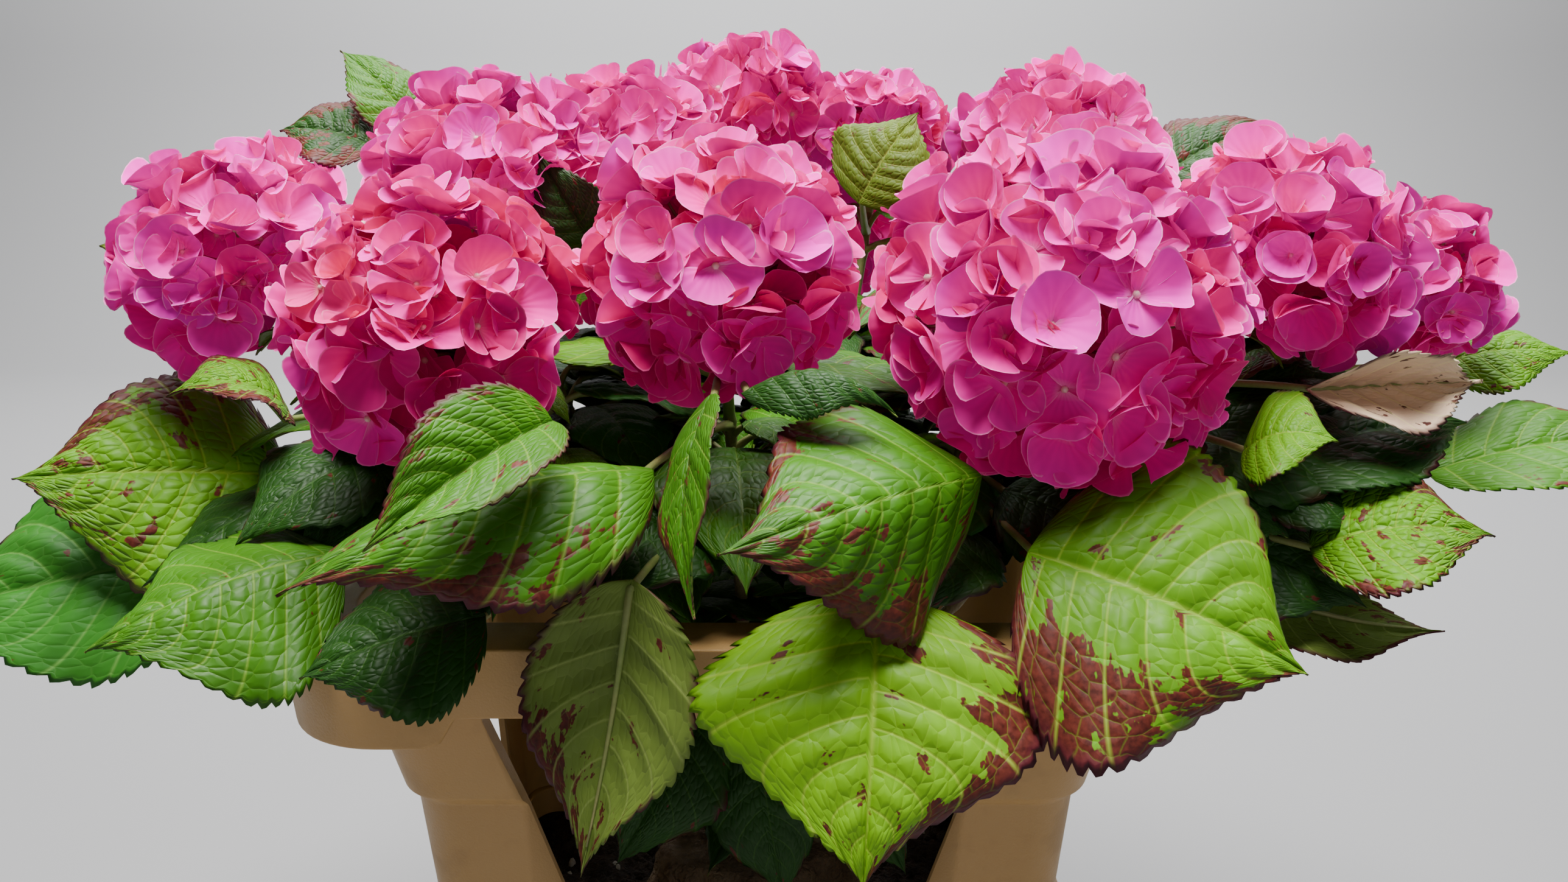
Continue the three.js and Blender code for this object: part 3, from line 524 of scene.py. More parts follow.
def growStem(head):
    # cubic curve from the root crown up through the collar, then out along the head's axis
    centre = np.array(head["at"], float)
    axis = unit(head["lean"])
    flat = centre * (1, 1, 0)
    length = np.linalg.norm(flat)
    outward = flat / length
    foot = outward * min(plant["footLimit"], plant["footShare"] * length) * (1, 0.9, 1)
    foot[2] = plant["crownTop"] - 2
    end = centre - axis * neckLength(head)
    rise = foot + outward * plant["riseShare"] * length
    rise[2] = foot[2] + plant["rise"]
    knots = (foot, rise, end - axis * plant["lead"], end)
    spans = np.linspace(0, 1, 4001)
    cut = spans[np.searchsorted(bezier(knots, spans)[:, 2], plant["massFoot"]) - 1]
    nodes = bezier(knots, np.linspace(cut, 1, plant["nodes"]))
    return {"centre": centre, "axis": axis, "knots": knots, "cut": cut, "nodes": nodes}


stems = [growStem(head) for head in heads]

# florets of each layer on a head of the usual radius, and how far out they sit, as a share; angles in degrees
blossom = {
    "layers": {"outer": (54, 0.91), "inner": (34, 0.77), "core": (18, 0.56)}, "usualRadius": 60,
    "lowest": 128, "stand": 11.5, "underside": 0.6, "press": 7, "pressLimit": 16, "tilt": 0.24, "grid": 7,
    "sepalLength": (16.5, 20.5), "sepalWide": 0.62, "notch": 0.07, "openShare": 0.5,
    "openLift": (4, 24), "closedLift": (28, 50), "cup": (0.15, 0.6), "curl": (-0.2, 0.14), "ripple": 0.04,
}

# base, edge and throat of each pink; the edge tone also paints the highlight along the rim, and the crimson
# and hot pinks carry the painted shade of low, inner and downward florets
petalTones = {
    "petalCrimson": ((0.54, 0.0, 0.115), (0.85, 0.12, 0.38), (0.62, 0.1, 0.2)),
    "petalHot": ((0.73, 0.001, 0.21), (0.94, 0.25, 0.54), (0.8, 0.2, 0.35)),
    "petalPink": ((0.88, 0.002, 0.37), (1.0, 0.36, 0.68), (0.92, 0.4, 0.55)),
    "petalRose": ((0.94, 0.005, 0.49), (1.0, 0.5, 0.76), (0.96, 0.55, 0.7)),
    "petalLilac": ((0.87, 0.008, 0.54), (1.0, 0.48, 0.78), (0.94, 0.55, 0.72)),
    "petalSalmon": ((0.94, 0.03, 0.3), (0.98, 0.3, 0.5), (0.95, 0.5, 0.3)),
}


def headAxes(axis):
    # two directions across a head's axis
    up = np.array((0, 1, 0) if abs(axis[2]) > 0.99 else (0, 0, 1), float)
    acrossA = unit(np.cross(up, axis))
    return acrossA, np.cross(axis, acrossA)


def placeFlorets(radius, rng):
    # each layer is a spiral by the golden angle, with the cosine of the fall even from 1 down to the lowest
    places, layers = [], []
    for layer, (count, depth) in enumerate(blossom["layers"].values()):
        count = round(count * (radius / blossom["usualRadius"]) ** 2)
        n = np.arange(count)
        fall = np.arccos(1 - (n + 0.5) / count * (1 - math.cos(math.radians(blossom["lowest"]))))
        fall = fall + 0.07 * rng.normal(size=count)
        turn = n * golden + rng.uniform(0, 6) + 0.12 * rng.normal(size=count)
        size = depth * (1 + 0.035 * rng.normal(size=count))
        ball = np.stack([np.sin(fall) * np.cos(turn), np.sin(fall) * np.sin(turn), np.cos(fall)], -1)
        places.append(ball * size[:, None])
        layers.append(np.full(count, layer))
    return np.concatenate(places), np.concatenate(layers)


def pressHeads(k, at):
    # heads press flat against each other: florets stay on their own side of the plane between them
    centre, radius = stems[k]["centre"], heads[k]["radius"]
    kept = np.ones(len(at), bool)
    for j, other in enumerate(heads):
        apart = np.array(other["at"], float) - centre
        distance = np.linalg.norm(apart)
        if j == k or distance > radius + other["radius"] + 4:
            continue
        apart /= distance
        beyond = (at - centre) @ apart - distance * radius / (radius + other["radius"]) + blossom["press"]
        kept &= beyond < blossom["pressLimit"]
        at = at - np.maximum(beyond, 0)[:, None] * apart
    return at, kept


def petalDisc():
    # square a, b in [-1, 1] mapped to a disc: x = a sqrt(1 - b²/2), y = b sqrt(1 - a²/2)
    a, b = np.meshgrid(*[np.linspace(-1, 1, blossom["grid"])] * 2, indexing="ij")
    return a * np.sqrt(1 - b ** 2 / 2), b * np.sqrt(1 - a ** 2 / 2)


def shapeSepals(at, out, east, north, spin, length, rng):
    # four sepals in two crossed pairs, each a disc narrowed to a claw and notched at its tip,
    # cupped across by y² and bent along by r², with a soft ruffled edge
    count, four = len(at), np.arange(4)
    bearing = spin[:, None] + four * math.pi / 2 + 0.1 * rng.normal(size=(count, 4))
    longer = length[:, None] * (1 + 0.08 * rng.normal(size=(count, 4)))
    wider = longer * blossom["sepalWide"] * (1 + 0.07 * rng.normal(size=(count, 4)))
    flat, deep = (rng.uniform(*blossom[span], (count, 1)) for span in ("openLift", "closedLift"))
    lift = np.where(rng.random((count, 1)) < blossom["openShare"], flat, deep)
    lift = np.radians(lift + 8 * rng.normal(size=(count, 4)) + np.where(four % 2, 5, -3))[..., None, None]
    cup = rng.uniform(*blossom["cup"], (count, 1, 1, 1)) + 0.1 * rng.normal(size=(count, 4, 1, 1))
    curl = rng.uniform(*blossom["curl"], (count, 4, 1, 1))
    ruffle = rng.uniform(0, 6.28, (count, 4, 1, 1))
    longer, wider = longer[..., None, None], wider[..., None, None]
    x, y = petalDisc()
    r = 0.04 + 0.48 * (1 + x) - blossom["notch"] * np.exp(-(y / 0.3) ** 2) * np.clip(x, 0, 1) ** 4
    narrow = 0.5 + 0.5 * np.clip((x + 1) / 0.8, 0, 1) ** 0.7
    flatAlong = longer * r
    flatAcross = wider * y * narrow
    ripple = blossom["ripple"] * np.sin(3 * np.arctan2(y, x) + ruffle) * (x ** 2 + y ** 2)
    rise = longer * (cup * (y * narrow) ** 2 + curl * r ** 2 + ripple)

    # turned up by the lift, with every second sepal half a millimetre higher
    along = flatAlong * np.cos(lift) - rise * np.sin(lift)
    above = flatAlong * np.sin(lift) + rise * np.cos(lift) + np.where(four % 2, 0.5, 0)[:, None, None]
    cosine, sine = np.cos(bearing)[..., None], np.sin(bearing)[..., None]
    ahead = cosine * east[:, None] + sine * north[:, None]
    aside = cosine * north[:, None] - sine * east[:, None]
    return (at[:, None, None, None] + along[..., None] * ahead[:, :, None, None]
            + flatAcross[..., None] * aside[:, :, None, None] + above[..., None] * out[:, None, None, None])


def floretTones(head, out, place, layer, young, rng):
    # crimson to rose: painted shade makes florets deeper when low, in the inner layers or facing down, and
    # painted light makes them paler when high or facing up; they are also paler on the heads further back,
    # deeper on warm heads and vary at random; some lilac or salmon
    count = len(out)
    # painted shade and light by facing, height and layer, with the head's warmth and a random share
    paintedShadeAndWarmth = 2.1 + 0.9 * out[:, 2] + 0.35 * place[:, 2] - 1.2 * layer + 0.4 * rng.normal(size=count)
    paintedShadeAndWarmth += (0.9 if head["at"][1] > -80 else 0) - 0.5 * head["warm"]
    tone = np.clip(np.round(paintedShadeAndWarmth), 0, 3).astype(int)
    tone = np.where((tone == 3) & (rng.random(count) > 0.5 + 0.6 * head["warm"]), 4, tone)
    return np.where(young & (rng.random(count) < 0.5), 5, tone)


def growHead(k, petals, eyes, stalks):
    # a head's florets, which sit within its radius by as much as their sepals stand out
    rng = np.random.default_rng(500 + k)
    head, centre, axis = heads[k], stems[k]["centre"], stems[k]["axis"]
    radius = head["radius"]
    acrossA, acrossB = headAxes(axis)
    place, layer = placeFlorets(radius, rng)
    flatten = np.where(place[:, 2] > 0, head["dome"], blossom["underside"])
    level = place[:, :1] * acrossA + place[:, 1:2] * acrossB
    at = centre + (radius - blossom["stand"]) * (level + (place[:, 2] * flatten)[:, None] * axis)
    out = unit(level + (place[:, 2] / flatten)[:, None] * axis)
    at, kept = pressHeads(k, at)
    at, out, layer, place = at[kept], out[kept], layer[kept], place[kept]
    count = len(at)
    young = (place[:, 2] > 0.84 * blossom["layers"]["outer"][1]) & (head["warm"] > 0.5)
    out = unit(out + blossom["tilt"] * rng.normal(size=(count, 3)) + (0, 0, 0.1))

    # floret frame, sepals and their tones
    spin = rng.uniform(0, 2 * math.pi, count)
    length = rng.uniform(*blossom["sepalLength"], count) * np.where(young, 0.72, 1) * np.where(layer, 0.92, 1)
    length = length * (radius / blossom["usualRadius"]) ** 0.25
    helper = np.where(np.abs(out[:, 2:]) > 0.9, (1.0, 0, 0), (0, 0, 1.0))
    east = unit(np.cross(helper, out))
    north = np.cross(out, east)
    points = shapeSepals(at, out, east, north, spin, length, rng)
    size = blossom["grid"]
    faces = sheetFaces(np.arange(size * size).reshape(size, size))[:, ::-1]
    tone = floretTones(head, out, place, layer, young, rng)
    slots = np.repeat(tone, 4 * len(faces))
    pattern = np.broadcast_to(np.stack(petalDisc(), -1), (count * 4, size, size, 2))
    petals.add(points, copies(faces, count * 4, size * size), slots=slots, ownPattern=pattern)

    # eye: a small ball of three rings at the middle of each floret
    local = ballPoints((0.35, 1.2, 2.1)) * (1.6 * length / 19)[:, None, None, None]
    eyePoints = (at[:, None, None] + local[..., :1] * east[:, None, None]
                 + local[..., 1:2] * north[:, None, None] + (local[..., 2:] + 1.1) * out[:, None, None])
    eyes.add(eyePoints, *[copies(faces, count, 18) for faces in ballFaces(3)])

    # stalks: from the fork inside the head to the back of each floret, and the neck that carries the fork
    fork = centre - axis * 0.3 * radius + 0.12 * (at - centre)
    bulge = fork * 0.45 + at * 0.55 + out * -4 + axis * 3
    paths = bezier((fork[:, None], bulge[:, None], (at - out * 0.3)[:, None]), np.linspace(0, 1, 4))
    stalks.add(*tubes(paths, np.linspace(1.1, 0.6, 4), 4))
    neck = centre - axis * np.array([0.12 * radius, 0.3 * radius, neckLength(head)])[:, None]
    stalks.add(*tubes(neck[None], np.array([2.2, plant["peduncle"], plant["peduncle"] * 0.9]), 10))


petalMaterials = [petalMaterial(name, *tones) for name, tones in petalTones.items()]
eyes, stalks = Batch(), Batch()
headGroups = [(0, 1, 2), (3, 4, 5, 6), (7, 8, 9, 10), (11, 12, 13)]
floretTotal = 0
for number, group in enumerate(headGroups, 1):
    petals = Batch()
    for k in group:
        growHead(k, petals, eyes, stalks)
    piece = petals.piece(f"petals_{number}", petalMaterials, "blossom")
    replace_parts(piece, *[f"bloom_{k + 1:02d}" for k in group])
    floretTotal += petals.count // (4 * blossom["grid"] ** 2)
eyes.piece("floret_eyes", [mottledMaterial("eyeCream")], "blossom")
stalks.piece("floret_stalks", [mottledMaterial("stalkGreen")], "foliage")
print("flower heads:", len(heads), "with", floretTotal, "florets")

# rows along the blade and places across each half
fineGrid = {"rows": 73, "across": (0, 0.035, 0.11, 0.22, 0.34, 0.46, 0.58, 0.7, 0.81, 0.9, 0.955, 1)}
plainGrid = {"rows": 37, "across": (0, 0.06, 0.22, 0.42, 0.62, 0.8, 0.93, 1)}
innerGrid = {"rows": 25, "across": (0, 0.08, 0.36, 0.68, 0.88, 1)}
youngGrid = {"rows": 19, "across": (0, 0.12, 0.5, 0.86, 1)}

# stem, foot and tip of the blade, the way its upper side faces, rise of its arch, width, fold and curl in
# degrees, green, and the rust on it: amount, more to one side (-1 to 1), more to the tip (-1 to 1), rim
showLeaves = rowsOf(("stem", "foot", "tip", "face", "arch", "wide", "fold", "curl", "green", "rust"), [
    (4, (-228, -22, 436), (-338, -62, 446), (0.1, -0.8, 0.6), 10, 125, 0, -25,
     "grass", (0.62, 0.35, 0.25, 1)),
    (4, (-252, -30, 402), (-398, -62, 378), (0, -0.75, 0.65), 6, 110, 5, -15, "blueGreen", (0.1, 0, 0, 0.15)),
    (4, (-178, -56, 446), (-262, -102, 408), (-0.25, -0.6, 0.75), 12, 88, -20, -10,
     "deep", (0.08, 0, 0, 0.1)),
    (1, (-166, -120, 431), (-248, -170, 408), (-0.2, -0.6, 0.75), 10, 110, -25, 0,
     "leaf", (0.08, 0, 0, 0.05)),
    (4, (-206, -62, 473), (-246, -92, 491), (0, -0.3, 1), 14, 55, 20, -30, "grass", (0.7, 0, 0, 0.8)),
    (2, (-32, -148, 474), (-152, -216, 449), (-0.05, -0.35, 0.95), 16, 98, -15, -40,
     "leaf", (0.5, -0.3, 0.6, 0.8)),
    (1, (-66, -168, 498), (-118, -226, 468), (0.3, -0.6, 0.7), 8, 48, 40, -20, "leaf", (0.35, 0.4, 0.4, 1)),
    (1, (-97, -160, 419), (-163, -180, 402), (0, -0.5, 0.85), 6, 75, 0, -20, "deep", (0.15, 0, 0, 0.15)),
    (2, (-39, -166, 436), (-60, -186, 322), (0.25, 0.9, -0.2), 6, 74, -20, 10,
     "olive", (0.42, -0.5, 0.8, 0.9)),
    (2, (-9, -160, 506), (-13, -208, 437), (-0.9, -0.5, 0.2), 8, 40, 10, -20, "leaf", (0.45, 0.6, 0.6, 1)),
    (2, (2, -158, 506), (60, -162, 498), (0, -0.1, 1), 14, 40, -30, -40, "deep", (0.15, 0, 0, 0.4)),
    (3, (94, -150, 472), (-4, -218, 464), (0.05, -0.85, 0.5), 12, 110, -28, -10,
     "leaf", (0.66, -0.45, 0.5, 1)),
    (3, (53, -166, 431), (46, -216, 337), (0, -0.9, 0.45), 14, 128, 0, -15, "lime", (0.5, -0.7, 0.35, 0.75)),
    (3, (112, -154, 443), (208, -192, 409), (0.1, -0.8, 0.55), 12, 138, 5, -25,
     "meadow", (0.55, 0.75, -0.35, 1)),
    (10, (208, -112, 472), (238, -132, 481), (0, -0.5, 0.9), 8, 60, 10, -20, "meadow", (0.15, 0, 0, 0.3)),
    (10, (240, -92, 494), (332, -64, 492), (0, 0.95, -0.1), 4, 66, -60, 0, "leaf", (0.3, 0, 0, 0.5)),
    (10, (226, -80, 456), (330, -60, 472), (0, -0.3, 0.9), 8, 80, 10, -20, "deep", (0.15, 0, 0, 0.3)),
    (10, (241, -110, 429), (307, -130, 441), (0, -0.45, 0.9), 10, 76, 10, -20,
     "grass", (0.66, -0.3, 0.1, 0.9)),
    (11, (331, -30, 440), (446, -44, 460), (0, -0.4, 0.9), 10, 62, 10, -20, "leaf", (0.15, 0, 0, 0.15)),
    (11, (354, 18, 484), (416, 2, 493), (0, -0.5, 0.85), 8, 52, 0, -30, "grass", (0.2, 0, 0, 0.3)),
    (10, (216, -98, 408), (298, -120, 395), (0.1, 0.4, -0.9), 8, 50, 10, -20, "olive", (0.4, 0, 0.8, 0.9)),
    (8, (56, 30, 566), (86, 34, 611), (-0.2, -0.8, 0.5), 6, 66, 0, -20, "olive", (0.15, 0, 0, 0.1)),
    (5, (-166, 36, 598), (-208, 46, 642), (0.3, -0.6, 0.6), 6, 42, 10, -20, "leaf", (0.3, 0, 0, 0.3)),
    (12, (-186, 22, 594), (-233, 22, 602), (0, -0.6, 0.8), 6, 52, 10, -20, "deep", (0.9, 0, 0, 0.9)),
    (4, (-290, 20, 532), (-326, 14, 546), (0, -0.5, 0.8), 4, 36, 20, -20, "olive", (0.3, 0, 0, 0.3)),
    (6, (-68, -36, 548), (-92, -44, 592), (-0.3, -0.7, 0.5), 4, 34, 20, -20, "deep", (0.2, 0, 0, 0.2)),
    (9, (208, 40, 576), (272, 48, 607), (0, -0.6, 0.8), 6, 50, 10, -20, "deep", (0.9, 0, 0, 0.9)),
])
# one blade is twisted, and one shows a blush underside
showLeaves[11]["twist"] = 10
showLeaves[15]["under"] = "blushUnder"

# deep green leaves in the gaps behind them, whose darkness is painted shade, and which differ only in place
# and width
gapLook = {"arch": 8, "fold": 8, "curl": -24, "green": "deep", "rust": (0.15, 0, 0.3, 0.3)}
gapLeaves = rowsOf(("stem", "foot", "tip", "face", "wide"), [
    (10, (196, -60, 470), (292, -84, 456), (0, -0.5, 0.85), 84),
    (10, (188, -84, 432), (266, -116, 404), (0, -0.6, 0.8), 78),
    (10, (172, -92, 458), (234, -106, 432), (0, -0.5, 0.85), 64),
    (10, (236, -52, 462), (318, -66, 470), (0, -0.5, 0.85), 66),
    (10, (222, -84, 450), (280, -102, 438), (0, -0.5, 0.85), 50),
    (10, (224, -38, 484), (290, -46, 485), (0, -0.6, 0.8), 54),
    (4, (-162, -70, 462), (-212, -116, 432), (0, -0.5, 0.85), 62),
    (1, (-146, -84, 456), (-194, -106, 416), (0, -0.5, 0.85), 56),
    (1, (-90, -112, 436), (-150, -150, 416), (0, -0.5, 0.85), 70),
    (2, (-20, -104, 446), (-58, -150, 420), (0, -0.5, 0.85), 66),
    (3, (88, -104, 440), (60, -156, 412), (0, -0.5, 0.85), 66),
    (3, (112, -100, 452), (166, -136, 428), (0, -0.5, 0.85), 66),
    (3, (34, -62, 336), (76, -90, 258), (0.1, -1, 0.3), 66),
    (2, (-20, -64, 330), (-62, -88, 262), (-0.1, -1, 0.3), 60),
    (2, (4, -58, 318), (18, -84, 238), (0, -1, 0.3), 58),
])

# base and vein of each green, its roughness and how strongly it is quilted
greens = {
    "lime": ((0.15, 0.36, 0.002), (0.34, 0.5, 0.04), 0.52, 0.35),
    "grass": ((0.095, 0.27, 0.002), (0.27, 0.42, 0.03), 0.54, 0.7),
    "meadow": ((0.1, 0.28, 0.002), (0.27, 0.42, 0.03), 0.52, 0.32),
    "leaf": ((0.04, 0.155, 0.002), (0.17, 0.31, 0.03), 0.5, 0.4),
    # deep green is dark enough to paint the shade under the heads and inside the plant
    "deep": ((0.011, 0.055, 0.003), (0.04, 0.12, 0.012), 0.5, 0.4),
    "blueGreen": ((0.024, 0.145, 0.01), (0.12, 0.28, 0.05), 0.56, 0.3),
    "olive": ((0.1, 0.16, 0.01), (0.25, 0.31, 0.045), 0.58, 0.35),
    "palePlain": ((0.14, 0.21, 0.03), (0.28, 0.36, 0.09), 0.62, 0.3),
    "blushUnder": ((0.92, 0.6, 0.42), (0.85, 0.75, 0.35), 0.62, 0.3),
}
greenNames = list(greens)
leafMaterials = [leafMaterial(name, *look) for name, look in greens.items()]

# sizes of the relief as shares of the blade
leafRule = {
    "veinPairs": 8, "rowEase": 0.14, "sweep": 0.28, "bow": 1.35, "tooth": 0.052, "toothLean": 0.014,
    "quilt": 0.018, "midrib": 0.02, "wave": 0.035,
}


def outline(t):
    # half width as a share: sin(pi t^0.75)^(0.7 + 0.9 t), broad above a rounded foot
    inside = np.clip(t, 1e-6, 1 - 1e-6)
    return np.sin(math.pi * inside ** 0.75) ** (0.7 + 0.9 * inside)


def bladePoints(leaf, t, q):
    # midrib: quadratic curve foot, knee, tip; each half bends away from it by fold + curl |q|
    foot, tip = np.array(leaf["foot"], float), np.array(leaf["tip"], float)
    chord = tip - foot
    rise = unit(leaf["face"])
    rise = unit(rise - chord * (rise @ chord) / (chord @ chord))
    knee = (foot + tip) / 2 + rise * 2 * leaf["arch"]
    point = bezier((foot, knee, tip), t)
    along = unit((knee - foot) * (1 - t[..., None]) + (tip - knee) * t[..., None])
    normal = unit(rise - along * (along @ rise)[..., None])
    turn = (math.radians(leaf.get("twist", 0)) * (t - 0.5))[..., None]
    side = np.cross(along, normal)
    up = normal * np.cos(turn) + side * np.sin(turn)
    side = side * np.cos(turn) - normal * np.sin(turn)
    fold = math.radians(leaf["fold"])
    curl = math.radians(leaf["curl"] if abs(leaf["curl"]) >= 0.5 else 0.5)
    bend = fold + curl * np.abs(q)
    half = leaf["wide"] / 2 * outline(t)
    point = point + side * (half * np.sign(q) * (np.sin(bend) - math.sin(fold)) / curl)[..., None]
    point = point - up * (half * (np.cos(bend) - math.cos(fold)) / curl)[..., None]
    face = up * np.cos(bend)[..., None] - side * (np.sign(q) * np.sin(bend))[..., None]
    return point, face


def cellNoise(seed, *whole):
    # a number from 0 to 1 for each whole-number cell
    value = np.full(np.broadcast(*whole).shape, float(seed) * 12.9898)
    for k, part in enumerate(whole):
        value = value + part * (78.233, 37.719, 54.581, 91.173)[k]
    return np.modf(np.abs(np.sin(value) * 43758.5453))[0]


def endFan(row, end):
    # triangles from the blade's end point to its nearest row
    return np.stack([np.full(len(row) - 1, end), row[1:], row[:-1]], -1)


def bladeFaces(rows, columns):
    # upper and under side share their edge columns, and fans close them at the foot and at the tip
    top = np.arange(rows * columns).reshape(rows, columns)
    under = top.copy()
    under[:, 1:-1] = rows * columns + np.arange(rows * (columns - 2)).reshape(rows, columns - 2)
    foot = rows * (2 * columns - 2)
    quads = np.concatenate([sheetFaces(top), sheetFaces(under)[:, ::-1]])
    triangles = np.concatenate([endFan(top[0], foot), endFan(under[0], foot)[:, ::-1],
                                endFan(top[-1], foot + 1)[:, ::-1], endFan(under[-1], foot + 1)])
    return quads, triangles


def overBothSides(table):
    # values of the upper side's points, then of the under side's own points and of the blade's two ends
    middle = table.shape[1] // 2
    return np.concatenate([table.reshape(-1, 2), table[:, 1:-1].reshape(-1, 2), table[[0, -1], middle]])


def leafTint(leaf, seed, t, q, veins):
    # rust over the blade: amount (1 + side q) (1 + tip (2t - 1)) (0.35 + q²), and purple on some of the teeth
    amount, toSide, toTip, rim = leaf["rust"]
    rust = amount * (1 + toSide * q) * (1 + toTip * (2 * t - 1)) * (0.35 + q ** 2)
    cell = cellNoise(seed + 5, np.floor(veins * 1.3), (q > 0) * 1.0)
    purpled = cell < rim * np.clip(1 + toSide * np.sign(q), 0, 1)
    return np.stack([np.clip(rust, 0, 1), np.clip((np.abs(q) - 0.88) / 0.1, 0, 1) * purpled], -1)


def growBlade(leaf, seed, grid, batch):
    # rows follow the side veins, three to a tooth: s = p - ease sin(pi p), t = s + sweep |q|^bow sin(pi s)
    rng = np.random.default_rng(seed)
    across = np.array(grid["across"])
    q = np.concatenate([-across[:0:-1], across])
    p = np.linspace(0, 1, grid["rows"])[1:-1]
    p, q = np.meshgrid(p, q, indexing="ij")
    rows, columns = q.shape
    s = p - leafRule["rowEase"] * np.sin(math.pi * p)
    t = s + leafRule["sweep"] * np.abs(q) ** leafRule["bow"] * np.sin(math.pi * s)
    margin = np.clip((np.abs(q) - 0.84) / 0.16, 0, 1) ** 2
    tooth = np.array([0.0, 0.82, 1.0])[np.arange(rows) % 3][:, None]
    jag = margin * tooth * (0.75 + 0.5 * rng.random((rows, 1)))
    t = np.clip(t + leafRule["toothLean"] * jag, 0.001, 0.999)
    point, face = bladePoints(leaf, t, q * (1 + leafRule["tooth"] * jag / np.clip(outline(t), 0.2, 1)))

    # relief: cushions between the side veins, a sunk midrib and a waved edge
    side = (q > 0) * 1.0
    veins = leafRule["veinPairs"] * s ** 0.92 + 0.35 * side
    cushion = (0.5 - 0.5 * np.cos(2 * math.pi * veins)) ** 0.7 * np.sin(math.pi * np.abs(q) ** 0.7) ** 0.5
    cushion = cushion * (0.7 + 0.6 * cellNoise(seed, np.floor(veins), side))
    edgeWave = np.sin(2 * math.pi * (2.2 * t + rng.random() + 0.4 * side)) * np.abs(q) ** 3
    relief = leafRule["quilt"] * cushion - leafRule["midrib"] * np.exp(-(q / 0.06) ** 2)
    relief = relief + leafRule["wave"] * edgeWave
    size = min(leaf["wide"], np.linalg.norm(np.subtract(leaf["tip"], leaf["foot"])))
    upper = point + face * (relief * size * np.sin(math.pi * np.clip(t, 0.02, 1)) ** 0.5)[..., None]
    lower = upper[:, 1:-1] - face[:, 1:-1] * 2 * plant["leafThick"]
    ends = bladePoints(leaf, np.array([0.0, 1.0]), np.array([0.0, 0.0]))[0]
    points = np.concatenate([upper.reshape(-1, 3), lower.reshape(-1, 3), ends])

    # own pattern: whole steps of ten keep the vein nets of the leaves apart
    pattern = np.stack([veins + 10 * (seed % 97), q], -1)
    sides = [greenNames.index(leaf["green"]), greenNames.index(leaf.get("under", "palePlain"))]
    slots, endSlots = np.repeat(sides, (rows - 1) * (columns - 1)), np.repeat(sides * 2, columns - 1)
    batch.add(points, *bladeFaces(rows, columns), slots, endSlots, ownPattern=overBothSides(pattern),
              ownTint=overBothSides(leafTint(leaf, seed, t, q, veins)))


def growPetiole(leaf, places, batch, sides=7):
    # from the best of some places on the stem, then on under the blade as its raised midrib
    foot = np.array(leaf["foot"], float)
    cost = np.linalg.norm(places - foot, axis=1) + 2 * np.maximum(0, places[:, 2] - foot[2] + 8)
    start = places[np.argmin(cost)]
    middle = start + 0.55 * (foot - start) + (0, 0, 0.06 * np.linalg.norm(foot - start))
    t = np.linspace(0.03, 0.9, 12)
    ribs, face = bladePoints(leaf, t, np.zeros(12))
    size = min(leaf["wide"], np.linalg.norm(np.subtract(leaf["tip"], foot)))
    radii = plant["petiole"] * np.concatenate([np.linspace(1.05, 0.8, 7), 0.72 * (1 - t) + 0.12])
    under = leafRule["midrib"] * size * np.sin(math.pi * t) ** 0.5 + 2 * plant["leafThick"] + 0.7 * radii[7:]
    ribs = ribs - face * under[:, None]
    lead = bezier((start, middle, ribs[0]), np.linspace(0, 1, 8))[:-1]
    radii[0] *= 1.5
    batch.add(*tubes(np.concatenate([lead, ribs])[None], radii[None], sides))


# the leaf solids' own points, by stem
solidPoints = []
for k in range(len(heads)):
    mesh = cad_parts[f"leaves_{k + 1:02d}"].data
    flatPoints = np.empty(len(mesh.vertices) * 3)
    mesh.vertices.foreach_get("co", flatPoints)
    solidPoints.append(flatPoints.reshape(-1, 3) / mm)

# shares of the stem that bear a seeded pair, and each leaf's tries: turn in degrees and share of its length
pairShares = (0.86, 0.4)
leafTries = ((0, 1), (28, 0.86), (-28, 0.86), (50, 0.7), (-50, 0.7))

# share of the stem and length of each young pair
youngPairs = ((0.97, 40), (0.66, 62), (0.2, 46))

inside = {
    "perStem": 8, "perCane": 5, "long": (62, 92), "caneLong": (60, 84), "reachX": 125, "reachY": 78,
    "rimX": 150, "rimY": 100, "overRim": 410, "low": (-380, -212, 200), "high": (428, 246, 600),
}


def seedNumbers(seed):
    # repeatable numbers from 0 to 1: state = 1664525 state + 1013904223, modulo 2^32
    state = seed
    while True:
        state = (1664525 * state + 1013904223) % 4294967296
        yield state / 4294967296


def heldBySolid(k, tip):
    # whether the solid has a point at a tip, as it has for the one try of each seeded leaf that found room
    return np.min(np.linalg.norm(solidPoints[k] - np.array(tip), axis=1)) < 0.5


def levelWay(azimuth):
    # level direction of an angle a: (cos a, sin a, 0)
    return np.array((math.cos(azimuth), math.sin(azimuth), 0))


def seededLeaves(k):
    # pairs at two nodes of each stem, each pair across the last, with the tries that find room
    draw = seedNumbers(7001 + 13 * k)
    nodes = stems[k]["nodes"]
    firstTurn = next(draw) * 180
    grown = []
    for level, share in enumerate(pairShares):
        at = nodes[int(math.floor(share * (len(nodes) - 1) + 0.5))]
        for side in range(2):
            heading = firstTurn + 90 * level + 180 * side + 30 * (next(draw) - 0.5)
            long = 88 + 34 * next(draw)
            fall = math.radians(-4 - 22 * next(draw))
            arch = 8 + 6 * next(draw)
            broad = 0.66 + 0.12 * next(draw)
            twist = 30 * (next(draw) - 0.5)
            for turn, scale in leafTries:
                out = levelWay(math.radians(heading + turn))
                foot = at + out * 24
                foot[2] = at[2] + 10 + 6 * level
                tip = foot + out * long * scale * math.cos(fall) + (0, 0, long * scale * math.sin(fall))
                if heldBySolid(k, tip):
                    grown.append({"foot": foot, "tip": tip, "face": out * 0.25 + (0, 0, 1),
                                  "arch": arch * scale, "wide": long * scale * broad, "fold": 8,
                                  "curl": -24, "twist": twist})
                    break
    return grown


